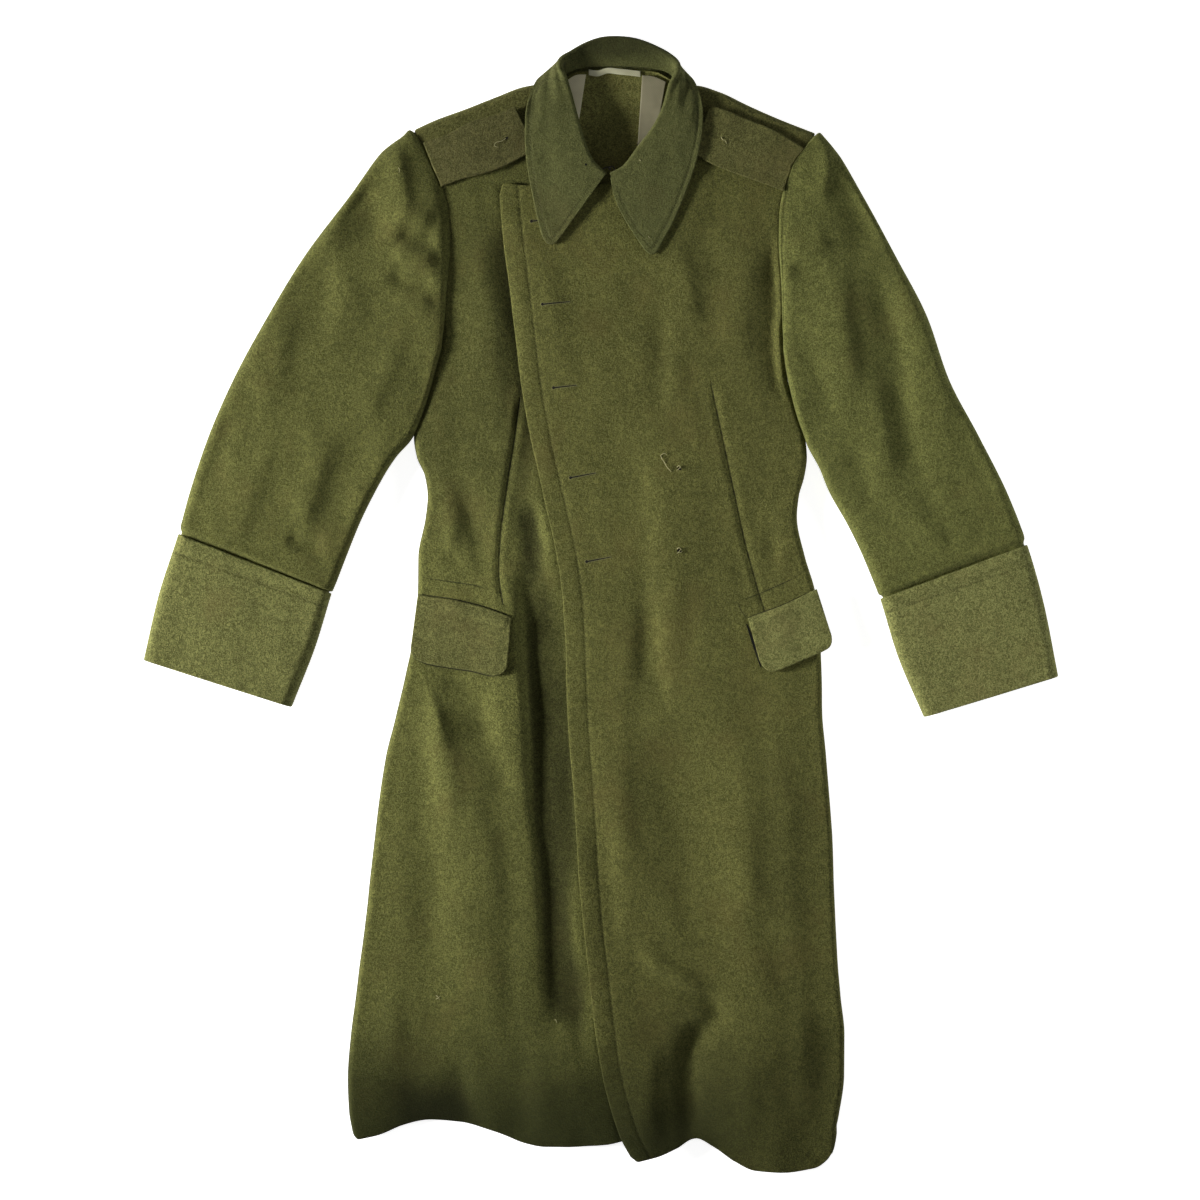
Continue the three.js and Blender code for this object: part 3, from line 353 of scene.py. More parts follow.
def read(rows, key, at, column):
    """One column where another has the value at, on a curve that never overshoots."""
    keys, values = rows[key], rows[column]
    at = np.clip(at, keys[0], keys[-1])
    i = np.clip(np.searchsorted(keys, at, side="right") - 1, 0, len(keys) - 2)
    slope = np.diff(values) / np.diff(keys)
    product, total = slope[:-1] * slope[1:], slope[:-1] + slope[1:]
    inner = np.where(product > 0, 2 * product / np.where(product > 0, total, 1), 0)
    tangent = np.concatenate([slope[:1], inner, slope[-1:]])
    span = keys[i + 1] - keys[i]
    t = (at - keys[i]) / span
    return (values[i] * (1 + 2 * t) * (1 - t) ** 2 + values[i + 1] * t * t * (3 - 2 * t)
            + span * (tangent[i] * t * (1 - t) ** 2 - tangent[i + 1] * t * t * (1 - t)))


def read_along(rows, fraction, column):
    """A column at a fraction of the way down a table."""
    index = np.arange(len(rows[column]), dtype=float)
    return read({"index": index, column: rows[column]}, "index", fraction * index[-1], column)


def curve(points, count):
    """A smooth line through points, as count places evenly far apart."""
    p = np.array(points, float)
    p = np.vstack([2 * p[0] - p[1], p, 2 * p[-1] - p[-2]])
    fine = []
    for a, b, c, d in zip(p, p[1:], p[2:], p[3:]):
        t = np.linspace(0, 1, 17)[:-1, None]
        fine.append(spline(a, b, c, d, t))
    fine = np.vstack(fine + [p[-2:-1]])
    along = np.concatenate([[0], np.cumsum(np.linalg.norm(np.diff(fine, axis=0), axis=1))])
    at = np.linspace(0, along[-1], count)
    return np.stack([np.interp(at, along, fine[:, k]) for k in range(p.shape[1])], axis=1)


def near(line, x, y):
    """Distance to a line, more than 0 on its left, and how far along it the nearest place is."""
    best, side, along = np.full(x.shape, np.inf), np.ones(x.shape), np.zeros(x.shape)
    lengths = np.linalg.norm(np.diff(line, axis=0), axis=1)
    before = 0.0
    for (ax, ay), (bx, by), length in zip(line[:-1], line[1:], lengths):
        ux, uy = (bx - ax) / length, (by - ay) / length
        t = np.clip((x - ax) * ux + (y - ay) * uy, 0, length)
        dx, dy = x - ax - t * ux, y - ay - t * uy
        distance = np.hypot(dx, dy)
        closer = distance < best
        best = np.where(closer, distance, best)
        side = np.where(closer, np.where(ux * dy - uy * dx < 0, -1, 1), side)
        along = np.where(closer, (before + t) / lengths.sum(), along)
        before += length
    return best * side, along


def relief(x, y, folds, spread=1.0, end=0.35):
    """Height of folds at places. end is a fold's share of its height at its two ends."""
    total = np.zeros(x.shape)
    for height, *widths, points in folds:
        left, right = widths[0] * spread, widths[-1] * spread
        line = curve(points, 7 * (len(points) - 1) + 1)
        reach = 2.8 * max(left, right)
        low, high = line.min(0) - reach, line.max(0) + reach
        inside = (x > low[0]) & (x < high[0]) & (y > low[1]) & (y < high[1])
        if inside.any():
            distance, along = near(line, x[inside], y[inside])
            width = np.where(distance > 0, left, right)
            fade = end + (1 - end) * smooth(0, 0.3, np.minimum(along, 1 - along))
            total[inside] += height * fade * bell(distance, width)
    return total


ROPE = {"left": 0.5, "right": 1.6}  # height of a sleeve head's edge above the seam
SEAM_SUNK = {"left": 0.3, "right": 1.0}  # depth of the seam itself
RIGHT_GAIN = 1.45  # how much stronger the over front's creases are than their table says
SLEEVE_GAIN = 1.25  # the same for the sleeves' creases
ALONG_GRAIN = 0.55  # waves are longer up the coat than across it


class Waves:
    """Gentle unevenness of laid cloth: a fixed sum of waves between two lengths."""

    def __init__(self, shortest, longest, count, height):
        self.length = np.geomspace(shortest, longest, count)
        turn = random.uniform(0, 2 * math.pi, count)
        self.x = np.cos(turn) / self.length * 2 * math.pi
        self.y = np.sin(turn) / self.length * 2 * math.pi * ALONG_GRAIN
        self.start = random.uniform(0, 2 * math.pi, count)
        share = self.length ** 0.8
        self.height = height * share / np.sqrt((share ** 2).sum() / 2)

    def __call__(self, x, y):
        total = np.zeros(x.shape)
        for kx, ky, start, height in zip(self.x, self.y, self.start, self.height):
            total += height * np.sin(kx * x + ky * y + start)
        return total


RUMPLE = Waves(26, 170, 34, 0.6)
EDGE_WOBBLE = Waves(30, 120, 16, 0.45)


def lap_edge(y):
    return read(LAP_EDGE, "y", y, "x")


def under_edge(y):
    return lap_edge(y) + LAP_WIDTH + 70 * smooth(280, 430, y)


def lapped(x, y):
    """How much of the lap's lift the over front has."""
    past = smooth(8, 70, x - under_edge(y))
    return (1 - 0.9 * past) * (1 - smooth(463, 486, y))


def welt(x, y, line, height=1.7, above=7.0):
    """The front's cloth stands a little above a pocket's seam, where the flap comes out of it."""
    distance, along = near(curve(line, 25), x, y)
    inside = smooth(0, 0.05, np.minimum(along, 1 - along))
    return height * inside * bell(distance - above, 6) * (distance > -4)


def groove(x, y, line, depth, width):
    distance, along = near(curve(line, 40), x, y)
    ends = smooth(0, 0.06, np.minimum(along, 1 - along))
    return -depth * ends * bell(distance, width)


def dart(x, y, line):
    """A sunk seam with a soft pad on both sides, where its allowance lies."""
    from_seam = np.abs(near(curve(line, 40), x, y)[0])
    return groove(x, y, line, 1.3, 3) + 0.5 * bell(from_seam - 7, 4)


def hem_sink(y):
    return HEM_SINK * smooth(-480, -600, y)


def armhole_hollow(from_side, y):
    """How much the over front sinks towards the armhole's lower part."""
    return (ARMHOLE_HOLLOW * smooth(425, 360, y) * smooth(205, 270, y) * smooth(0, 5, from_side)
            * bell(from_side - 3, 14))


def clear_back(top):
    """A height that eases out at LOWEST_TOP."""
    return LOWEST_TOP + np.logaddexp(0, top - LOWEST_TOP)


def collar_clear(x, y):
    """0 where the collar lies on the fronts, 1 clear of it."""
    return 1 - (1 - smooth(40, 75, np.hypot((x - 8) / 1.25, (y - 470) / 1.0)
                           - 40)) * smooth(350, 380, y)


def under_top(x, y, fine=True):
    covered = smooth(-8, 18, x - lap_edge(y)) * smooth(470, 452, y)
    hidden = relief(x, y, TROUGHS, COVERED_SPREAD) - COVERED_SINK
    top = CHEST_TOP + mix(relief(x, y, FOLDS), hidden, covered)
    if fine:
        more = relief(x, y, CREASES_LEFT, end=0) + RUMPLE(x, y)
        more += dart(x, y, DART_LEFT)
        more += welt(x, y, LEFT_FLAP[0][::-1])
        top = top + more * (1 - covered) * collar_clear(x, y)
    return clear_back(top - hem_sink(y))


def over_top(x, y, fine=True):
    top = CHEST_TOP + relief(x, y, FOLDS) + LAP_LIFT * lapped(x, y)
    if fine:
        inner = x - lap_edge(y)
        roll = 0.4 * bell(inner - 9, 7) - 0.6 * bell(inner - STITCH_FROM_EDGE, 2.6)
        roll += LAP_RISE * smooth(-230, -420, y) * bell(inner, 34)
        roll += 0.35 * np.sin(y / 3.1 + 2 * np.sin(y / 17)) * bell(inner - 15, 8)
        more = RIGHT_GAIN * relief(x, y, CREASES_RIGHT, end=0) + RUMPLE(x + 300, y)
        more += dart(x, y, DART_RIGHT)
        more += welt(x, y, RIGHT_FLAP[0][::-1])
        top = top + roll + more * collar_clear(x, y)
    return clear_back(top - hem_sink(y))


# Meshes

def rim(mid, half, radius):
    """Rows added near the first row of a wall, where its thickness rounds down to its edge."""
    along = mid[1] - mid[0]
    length = np.linalg.norm(along, axis=-1, keepdims=True).mean()
    mids, halves = [], []
    for share in (0.0, 0.06, 0.25, 0.55, 1.0):
        t = min(share * radius / length, 0.95)
        thickness = max(math.sqrt(1 - (1 - share) ** 2), 0.18)
        mids.append(mid[0] + along * t)
        halves.append(mix(half[0], half[1], t) * thickness)
    return (np.concatenate([np.stack(mids), mid[1:]]),
            np.concatenate([np.stack(halves), half[1:]]))


def rounded(outer, inner, radius, sides="tblr"):
    """A wall's two grids with rounded edges: t and b its first and last row, l and r its first
    and last column."""
    mid, half = (outer + inner) / 2, (outer - inner) / 2
    if "t" in sides:
        mid, half = rim(mid, half, radius)
    if "b" in sides:
        mid, half = (a[::-1] for a in rim(mid[::-1], half[::-1], radius))
    if "l" in sides or "r" in sides:
        mid, half = mid.swapaxes(0, 1), half.swapaxes(0, 1)
        if "l" in sides:
            mid, half = rim(mid, half, radius)
        if "r" in sides:
            mid, half = (a[::-1] for a in rim(mid[::-1], half[::-1], radius))
        mid, half = mid.swapaxes(0, 1), half.swapaxes(0, 1)
    return mid + half, mid - half


def wall_mesh(name, outer, inner, ring=False):
    """Closed mesh between two grids of points. A ring's last column joins its first."""
    rows, columns = outer.shape[:2]
    points = np.concatenate([outer.reshape(-1, 3), inner.reshape(-1, 3)])
    place = np.arange(2 * rows * columns).reshape(2, rows, columns)
    if ring:
        place = np.concatenate([place, place[:, :, :1]], axis=2)

    def quads(a, b, c, d):
        return np.stack([a, b, c, d], axis=-1).reshape(-1, 4)

    top, low = place
    faces = [quads(top[:-1, :-1], top[:-1, 1:], top[1:, 1:], top[1:, :-1]),
             quads(low[:-1, :-1], low[1:, :-1], low[1:, 1:], low[:-1, 1:]),
             quads(low[0, :-1], low[0, 1:], top[0, 1:], top[0, :-1]),
             quads(top[-1, :-1], top[-1, 1:], low[-1, 1:], low[-1, :-1])]
    if not ring:
        faces += [quads(top[:-1, 0], top[1:, 0], low[1:, 0], low[:-1, 0]),
                  quads(low[:-1, -1], low[1:, -1], top[1:, -1], top[:-1, -1])]
    return mesh_of(name, points, np.concatenate(faces))


def mesh_of(name, points, faces):
    """Smooth mesh of points in millimetres and faces of four corners, facing outward."""
    a, b, c = (points[faces[:, k]] for k in range(3))
    d = points[faces[:, 3]]
    volume = (a * np.cross(b, c)).sum() + (a * np.cross(c, d)).sum()
    if volume < 0:
        faces = faces[:, ::-1]
    mesh = bpy.data.meshes.new(name)
    mesh.from_pydata((points * MM).tolist(), [], faces.tolist())
    mesh.polygons.foreach_set("use_smooth", np.ones(len(faces), bool))
    mesh.update()
    return mesh


def sewing(mesh, *distances):
    """Writes how far, in millimetres, each point is from up to three sewing lines."""
    points = np.empty(len(mesh.vertices) * 3)
    mesh.vertices.foreach_get("co", points)
    x, y, _ = points.reshape(-1, 3).T / MM
    columns = [distance(x, y) if distance else np.full(x.shape, FAR) for distance in distances]
    columns += [np.full(x.shape, FAR)] * (3 - len(columns))
    layer = mesh.attributes.new("sewing", "FLOAT_VECTOR", "POINT")
    layer.data.foreach_set("vector", np.stack(columns, axis=1).ravel())


def add_piece(mesh, material, nodes):
    mesh.materials.append(material)
    piece = bpy.data.objects.new(mesh.name, mesh)
    bpy.context.scene.collection.objects.link(piece)
    if nodes:
        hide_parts(*nodes)
    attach(piece, "root")
    return piece


# Body

def turned(turn, radius, top, flat_length, depth, arc, flat):
    """Cloth turning down from a top face: distances outward and heights, from its far end."""
    full = math.pi * turn[:, None]
    angle = full * (1 - arc[None])
    arm = radius - depth
    out, z = arm * np.sin(angle), top - radius + arm * np.cos(angle)
    length = flat_length[:, None] * flat[None]
    return (np.concatenate([out[:, :1] + length * np.cos(full), out], axis=1),
            np.concatenate([z[:, :1] - length * np.sin(full), z], axis=1))


def side_turn(y):
    return 1 - (1 - ARMHOLE_TURN) * smooth(ARMPIT_LOW, ARMPIT_HIGH, y)


def turn_reach(turn, flat_length):
    full = math.pi * turn
    return np.where(turn >= 0.5, FOLD_RADIUS,
                    FOLD_RADIUS * np.sin(full) + flat_length * np.cos(full))


FRONT_LENGTH = 1074
FRONT_LOW, FRONT_HIGH = -598, 470  # about where a front's hem and its top edge are
TOP_AT_SIDE = 484  # where a front's top edge meets the side
ARC = np.linspace(0, 1, 12)
FLAT = np.array([1, 0.7, 0.4, 0.15])


def front(name, inward, side_column, edge, hem, top, height, columns, corner):
    """A front: its side return, its side fold, and its face as far as its free edge."""
    hem_rows, hem_edge_y = hem
    top_rows, top_edge_y = top
    gap = SEAM_GAP * inward

    def side(y):
        return read(SIDES, "y", y, side_column) + gap

    v = np.linspace(0, 1, 326)[:, None]
    rough_y = mix(FRONT_LOW, FRONT_HIGH, v)
    width = np.abs(edge(rough_y) - side(rough_y) - inward * FOLD_RADIUS)
    from_edge, share = columns
    u = np.concatenate([share[None] * (1 - from_edge[-1] / width),
                        1 - from_edge[::-1][None] / width], axis=1)

    def rows(u):
        top_x = mix(side(TOP_AT_SIDE), edge(top_edge_y), u)
        hem_x = mix(side(SIDE_HEM) + inward * FOLD_RADIUS, edge(hem_edge_y), u)
        s = (1 - u) * width
        low, high = (r - np.sqrt(np.maximum(r * r - np.maximum(r - s, 0) ** 2, 0))
                     for r in corner)
        y = mix(read(hem_rows, "x", hem_x, "y") + low,
                read(top_rows, "x", top_x, "y") - high, v)
        return y + 0.5 * EDGE_WOBBLE(hem_x + 900, y) * bell(FRONT_LENGTH * v, 14)

    def begin(y):
        turn = side_turn(y)
        flat_length = np.where(turn > 0.995, SEAM_RETURN, 0.5)
        start = side(np.minimum(y, TOP_AT_SIDE)) + inward * turn_reach(turn, flat_length)
        return turn, flat_length, start

    first_y = rows(np.zeros_like(v))
    turn, flat_length, first_start = begin(first_y)
    y = rows(u)
    start = begin(y)[2]
    wobble = EDGE_WOBBLE(y * 0 - inward * 500, y) * smooth(60, 0, (1 - u) * width)
    x = mix(start, edge(np.clip(y, hem_edge_y, top_edge_y)) + wobble * 0.6, u)
    inside = smooth(0, EDGE_BAND, np.abs(x - start))
    face = SIDE_TOP_FACE + inside * (height(x, y) - SIDE_TOP_FACE)
    if side_column == "right":
        face -= armhole_hollow(np.abs(x - start), y)
    side_noise = 0.7 * RUMPLE(first_y * 0 + 77, first_y * 1.6)[:, :1] * smooth(300, 250, first_y)
    hem_y = first_y[0, 0]
    corner_rise = read(hem_rows, "x", side(SIDE_HEM), "y") - hem_y + HEM_CORNER

    def grid(depth):
        out, z = turned(turn[:, 0], FOLD_RADIUS, SIDE_TOP_FACE, flat_length[:, 0], depth,
                        ARC, FLAT)
        turned_out = np.where(z < FOLD_RADIUS, 1, np.clip(out / (FOLD_RADIUS - depth), 0, 1) ** 2)
        fold_y = first_y + corner_rise * turned_out * bell(first_y - hem_y, 30)
        fold = np.stack([first_start - inward * out, fold_y, z], axis=2)
        fold[:, :, 0] += side_noise * (z - 1) / SIDE_TOP_FACE
        fold = fold[:, :-1]
        return np.concatenate([fold, np.stack([x, y, face - depth], axis=2)], axis=1)

    outer, inner = rounded(grid(0), grid(WOOL), 1.9, "tbr")
    return wall_mesh(name, outer, inner)


OVER_COLUMNS = (np.array([0, 4, 6.5, 9, 11.5, 14, 16, 18, 19.5, 20.5, 21.5, 22.5, 23.5, 25, 27,
                          30, 33]), np.linspace(0, 1, 84)[:-1])
UNDER_SHARE = np.concatenate([np.linspace(0, 0.62, 76), np.linspace(0.65, 1, 22)[:-1]])
UNDER_COLUMNS = (np.array([0, 5, 12]), UNDER_SHARE)


def neck_raise(x, y):
    return (NECK_LIFT * smooth(530, 562, y) * smooth(-80, -52, x)
            * (1 - smooth(90, 118, x)))


def back_mesh():
    """The back, flat on the floor, with its folds over the shoulders."""
    hidden = FOLD_RADIUS + SEAM_RETURN + 3 * SEAM_GAP
    u = np.linspace(0, 1, 104)

    def across(u, y):
        inset = mix(hidden, ARMHOLE_GAP, smooth(ARMPIT_LOW + 6, ARMPIT_LOW + 38, y))
        return mix(read(SIDES, "y", y, "left") + inset, read(SIDES, "y", y, "right") - inset, u)

    x = mix(SHOULDERS["x"][0] + 1, SHOULDERS["x"][-1] - 1, u)
    hem_x = across(u, SIDE_HEM)
    lap_foot = HEM_OVER["x"][0]
    hem = mix(read(HEM_UNDER, "x", hem_x, "y"), read(HEM_OVER, "x", hem_x, "y"),
              smooth(lap_foot, lap_foot + 70, hem_x)) + BACK_HEM_SHORT
    turn = read(SHOULDERS, "x", x, "turn")
    radius = FOLD_RADIUS - neck_raise(x, 600.0) / 2
    arc_start = read(SHOULDERS, "x", x, "y") - radius * np.sin(np.minimum(turn, 0.5) * math.pi)
    seam = arc_start.copy()
    for _ in range(8):
        place = across(u, seam)
        seam = np.where(x < 0, read(TOP_UNDER, "x", place, "y"),
                        read(TOP_OVER, "x", place, "y")) + 2 * SEAM_GAP
    neckline = (x > NECK_LEFT) & (x < NECK_RIGHT)
    length = np.where(neckline, NECK_TURN_LENGTH, arc_start - seam)
    low = SIDE_HEM + BACK_HEM_SHORT
    y0 = np.linspace(low, SIDE_TOP, 222)[None]
    rise = (y0 - low) / (SIDE_TOP - low)
    y = y0 + ((hem - low)[:, None] * (1 - rise) ** 3 + (arc_start - SIDE_TOP)[:, None] * rise ** 6)
    face_x = across(u[:, None], y)
    raised = neck_raise(x[:, None], y)
    lift = neck_raise(x, arc_start)[:, None]

    def grid(depth):
        lower = np.stack([face_x, y, raised + depth], axis=2)
        full = math.pi * turn[:, None]
        arm = (radius - depth)[:, None]
        angle = full * np.linspace(0, 1, 14)[None, 1:]
        out, z = arm * np.sin(angle), radius[:, None] + arm * np.cos(angle)
        far = length[:, None] * np.array([0.08, 0.3, 0.5, 0.7, 0.85, 1])[None]
        out = np.concatenate([out, out[:, -1:] + far * np.cos(full)], axis=1)
        z = np.concatenate([z, z[:, -1:] - far * np.sin(full)], axis=1)
        over = arc_start[:, None] + out
        turned_x = across(u[:, None], over)
        top = lift + 2 * radius[:, None] - z
        puff = 0.6 * RUMPLE(turned_x, over) * smooth(9, 14, top) * (depth == 0)
        return np.concatenate(
            [lower, np.stack([turned_x, over, top + puff * (~neckline[:, None])], axis=2)], axis=1)

    outer, inner = rounded(grid(0), grid(WOOL), 1.3, "tblr")
    return wall_mesh("back_cloth", outer, inner)


# Sleeves

def tube(rows, column, fractions, shrink, height, crown, wool, spacing, detail):
    """Two grids of a flattened tube of cloth: its outside and its inside."""
    outer_edge = np.stack([read_along(rows, fractions, k) for k in ("outerX", "outerY")], 1)
    inner_edge = np.stack([read_along(rows, fractions, k) for k in ("innerX", "innerY")], 1)
    toward = (inner_edge - outer_edge) / np.linalg.norm(inner_edge - outer_edge, axis=1)[:, None]
    head = HEAD_BUMP * bell(fractions - 0.06, 0.035)
    head -= HEAD_CUT * bell(fractions, 0.026)
    outer_edge -= toward * head[:, None]
    inner_edge += toward * (ARMPIT_CLOSE[column] * smooth(0.03, 0.1, fractions)
                            * smooth(0.42, 0.34, fractions))[:, None]
    width = np.linalg.norm(inner_edge - outer_edge, axis=1)[:, None]
    across = (inner_edge - outer_edge) / width
    away = math.copysign(1, outer_edge[0, 0])
    radius = (height / 2)[:, None]
    shrink = shrink[:, None]
    count = int(width.max() / spacing)
    flat = np.linspace(0, 1, count)[None]
    under = np.linspace(1, 0, count // 3)[None, 1:-1]
    arc = np.radians(np.linspace(90, -90, 11)[1:])[None]

    def grid(depth):
        arm = radius - depth
        span = width - 2 * shrink - 2 * radius
        u = (radius + span * flat) / (width - 2 * shrink)
        out, rise = arm * np.cos(arc), shrink + radius + arm * np.sin(arc)
        ways = [(shrink + radius + span * flat,
                 shrink + 2 * radius + crown[:, None] * np.sin(math.pi * u) - depth),
                (width - shrink - radius + out, rise),
                (shrink + radius + span * under, shrink + depth),
                (shrink + radius - out[:, ::-1], rise[:, ::-1])]
        step = np.concatenate([way for way, _ in ways], axis=1)
        z = np.concatenate([np.broadcast_to(up, way.shape) for way, up in ways], axis=1)
        share = np.clip(step / width, 0, 1)
        seam_y = mix(outer_edge[0, 1], inner_edge[0, 1], share)
        straight = mix(outer_edge[0, 0], inner_edge[0, 0], share)
        bend = (read(SIDES, "y", seam_y, column) + ARMHOLE_SEAM * away - straight)
        bend *= 1 - smooth(0, ARMHOLE_REACH, fractions)[:, None]
        x = outer_edge[:, :1] + across[:, :1] * step + bend
        y = outer_edge[:, 1:] + across[:, 1:] * step
        middle = radius + shrink
        on_top = smooth(0, 1, (z - middle) / (radius * 0.95)) * smooth(
            0, 16, np.minimum(step - shrink, width - shrink - step))
        return np.stack([x, y, z + on_top * detail(x, y, fractions[:, None])], axis=2)

    return grid(0), grid(wool)


def sleeve_mesh(name, rows, column, creases, shift):
    fractions = np.linspace(0, 1, 172)
    cuff_at = CUFF_START / (len(rows["height"]) - 1)
    in_cuff = smooth(cuff_at - 0.014, cuff_at - 0.003, fractions)
    shrink = in_cuff * (CUFF_WOOL + CUFF_EASE)
    height = read_along(rows, fractions, "height") - 2 * shrink
    crown = SLEEVE_CROWN * smooth(0, 0.12, fractions) * (1 - in_cuff)

    def detail(x, y, fraction):
        clear = 1 - smooth(cuff_at - 0.05, cuff_at - 0.02, fraction)
        roped = ROPE[column] * bell(fraction - 0.028, 0.018)
        sunk = -SEAM_SUNK[column] * bell(fraction, 0.008)
        wave = SLEEVE_GAIN * relief(x, y, creases, end=0) + 1.2 * RUMPLE(x + shift, y)
        return (wave * smooth(0, 0.03, fraction) + roped + sunk) * clear

    outer, inner = tube(rows, column, fractions, shrink, height, crown, WOOL, 3.3, detail)
    outer, inner = rounded(outer, inner, 1.3, "tb")
    return wall_mesh(name, outer, inner, ring=True)


def cuff_mesh(name, rows, column, shift):
    cuff_at = CUFF_START / (len(rows["height"]) - 1)
    t = np.linspace(0, 1, 58)
    fractions = mix(cuff_at, 1, t)
    zero = np.zeros_like(t)

    def detail(x, y, fraction):
        down = (fraction - cuff_at) / (1 - cuff_at) * 136
        line = mix(CUFF_STITCH_OUTER, CUFF_STITCH_INNER, 0.5)
        roll = 0.8 * bell(down - 9, 7) - 0.7 * bell(down - line, 3)
        return roll + 0.8 * RUMPLE(x + shift, y) + 0 * x

    outer, inner = tube(rows, column, fractions, zero, read_along(rows, fractions, "height"),
                        zero + CUFF_CROWN, CUFF_WOOL, 2.6, detail)
    outer, inner = rounded(outer, inner, 1.4, "tb")
    mesh = wall_mesh(name, outer, inner, ring=True)
    top = [(rows["outerX"][CUFF_START], rows["outerY"][CUFF_START]),
           (rows["innerX"][CUFF_START], rows["innerY"][CUFF_START])]
    outward = np.array([rows["outerX"][-1] - top[0][0], rows["outerY"][-1] - top[0][1]])
    outward /= np.linalg.norm(outward)
    stitched = np.array(top) + outward * np.array([[CUFF_STITCH_OUTER], [CUFF_STITCH_INNER]])
    sewing(mesh, lambda x, y: near(stitched, x, y)[0])
    return mesh


# Collar

def collar_frames(count):
    """The collar's stations, close together, and closer still at its two ends."""
    columns = list(COLLAR)
    stations = np.stack([COLLAR[k] for k in columns], axis=1)
    p = np.vstack([2 * stations[0] - stations[1], stations, 2 * stations[-1] - stations[-2]])
    ends = np.array([0, 0.02, 0.05, 0.1, 0.16, 0.23, 0.32, 0.42])
    at = np.concatenate([ends, np.linspace(0.5, len(stations) - 1.5, count),
                         len(stations) - 1 - ends[::-1]])
    i = np.minimum(at.astype(int), len(stations) - 2)
    t = (at - i)[:, None]
    fine = spline(p[i], p[i + 1], p[i + 2], p[i + 3], t)
    values = dict(zip(columns, fine.T))
    turn = np.radians(values["out"])
    outward = np.stack([np.cos(turn), np.sin(turn), 0 * turn], axis=1)
    centre, edge, neck = (np.stack([values[name + k] for k in "XYZ"], axis=1)
                          for name in ("roll", "edge", "neck"))
    return centre, outward, values["lean"], edge, neck, at


def on_roll(centre, outward, degrees, radius):
    a = np.radians(degrees)[:, None]
    return centre + (outward * np.cos(a) + np.array([0, 0, 1]) * np.sin(a)) * radius


def sweep(start, direction, end, t):
    """Curve from one point to another that leaves the first along a direction."""
    reach = np.linalg.norm(end - start, axis=1, keepdims=True) * 0.45
    control = start + direction * reach
    t = t[:, :, None]
    return (start[:, None] * (1 - t) ** 2 + 2 * control[:, None] * t * (1 - t)
            + end[:, None] * t * t)


def thickened(middle, thickness, radius, sides="tblr"):
    """Closed wall half its thickness to each side of a middle surface, edges rounded."""
    along = np.gradient(middle, axis=0)
    across = np.gradient(middle, axis=1)
    normal = np.cross(along, across)
    normal /= np.linalg.norm(normal, axis=2, keepdims=True)
    return rounded(middle + normal * thickness / 2, middle - normal * thickness / 2, radius, sides)


TIP_RADIUS = 13
TIP_GROW = (7.5, 9.5)  # the left and the right point reach this much further
FRONT_BULGE = 7.5  # of the right leaf's front edge, towards the other leaf
UNDERLAY = 1.7  # the stand's under layer lies this far below its face


def collar_fall_mesh():
    """The collar's face: from the neck seam up the stand, round the roll and down to the edge."""
    centre, outward, lean, edge, neck, at = collar_frames(236)
    side_swell = 2.6 * np.sin(np.pi * np.clip(lean / 175, 0, 1)) ** 2 * (centre[:, 0] < 20)
    centre = centre + outward * side_swell[:, None]
    leaving = on_roll(centre, outward, -lean, 1) - centre
    start = on_roll(centre, outward, -90 - lean, COLLAR_ROLL) + leaving * ROLL_LEAD
    stand = sweep(start, leaving, neck, np.broadcast_to(np.linspace(1, 0, 16)[None, :-1],
                                                        (len(start), 15)))
    roll = [start[:, None]]
    for k in np.linspace(0, 180, 13):
        roll.append(on_roll(centre, outward, -90 - lean - k, COLLAR_ROLL)[:, None])
    last = roll[-1][:, 0]
    length = np.linalg.norm(edge - last, axis=1)
    station = np.linalg.norm(np.diff(edge, axis=0), axis=1)
    from_start = np.concatenate([[0], np.cumsum(station)])
    from_tip = np.minimum(from_start, from_start[-1] - from_start)
    s = np.maximum(TIP_RADIUS - from_tip, 0)
    cut = TIP_RADIUS - np.sqrt(TIP_RADIUS ** 2 - s ** 2)
    grow = np.where(at < 10, *TIP_GROW) * smooth(34, 0, from_tip)
    steps = np.linspace(0, 1, 46)[1:]
    t = steps[None] * (1 + (grow - cut) / length)[:, None]
    fall = sweep(last, leaving, edge, t)
    final = at[-1]
    bulge = FRONT_BULGE * (smooth(final - 2.2, final, at) ** 1.5)[:, None] * np.sin(
        np.pi * np.clip(t, 0, 1) ** 0.8)
    fall[:, :, 0] -= 0.907 * bulge
    fall[:, :, 1] -= 0.42 * bulge
    x, y, z = fall.transpose(2, 0, 1)
    lying = (lean < 40)[:, None] * smooth(0.12, 0.45, t)
    curl = 1.3 * smooth(0.72, 1, t) * (0.5 + 0.5 * np.sin(at * 1.7))[:, None]
    to_edge = (t[:, -1:] - t) * length[:, None]
    edge_roll = -0.5 * bell(to_edge - COLLAR_STITCH, 2)
    fall[:, :, 2] = z + lying * (0.7 * RUMPLE(x * 1.6, y * 1.6) + 0.3 + curl + edge_roll)
    for height, along, width, place, reach in COLLAR_RIDGES:
        fall[:, :, 2] += height * bell(t - along, width) * bell(at - place, reach)[:, None]
    middle = np.concatenate([stand] + roll + [fall], axis=1)
    outer, inner = thickened(middle, COLLAR_WOOL, 1.1)
    mesh = wall_mesh("collar_fall_cloth", outer, inner)
    free = np.concatenate([fall[0, 6:-1:3, :2], fall[::3, -1, :2], fall[-1, -1:6:-3, :2]])
    sewing(mesh, lambda x, y: np.abs(near(free, x, y)[0]) - COLLAR_STITCH)
    return mesh


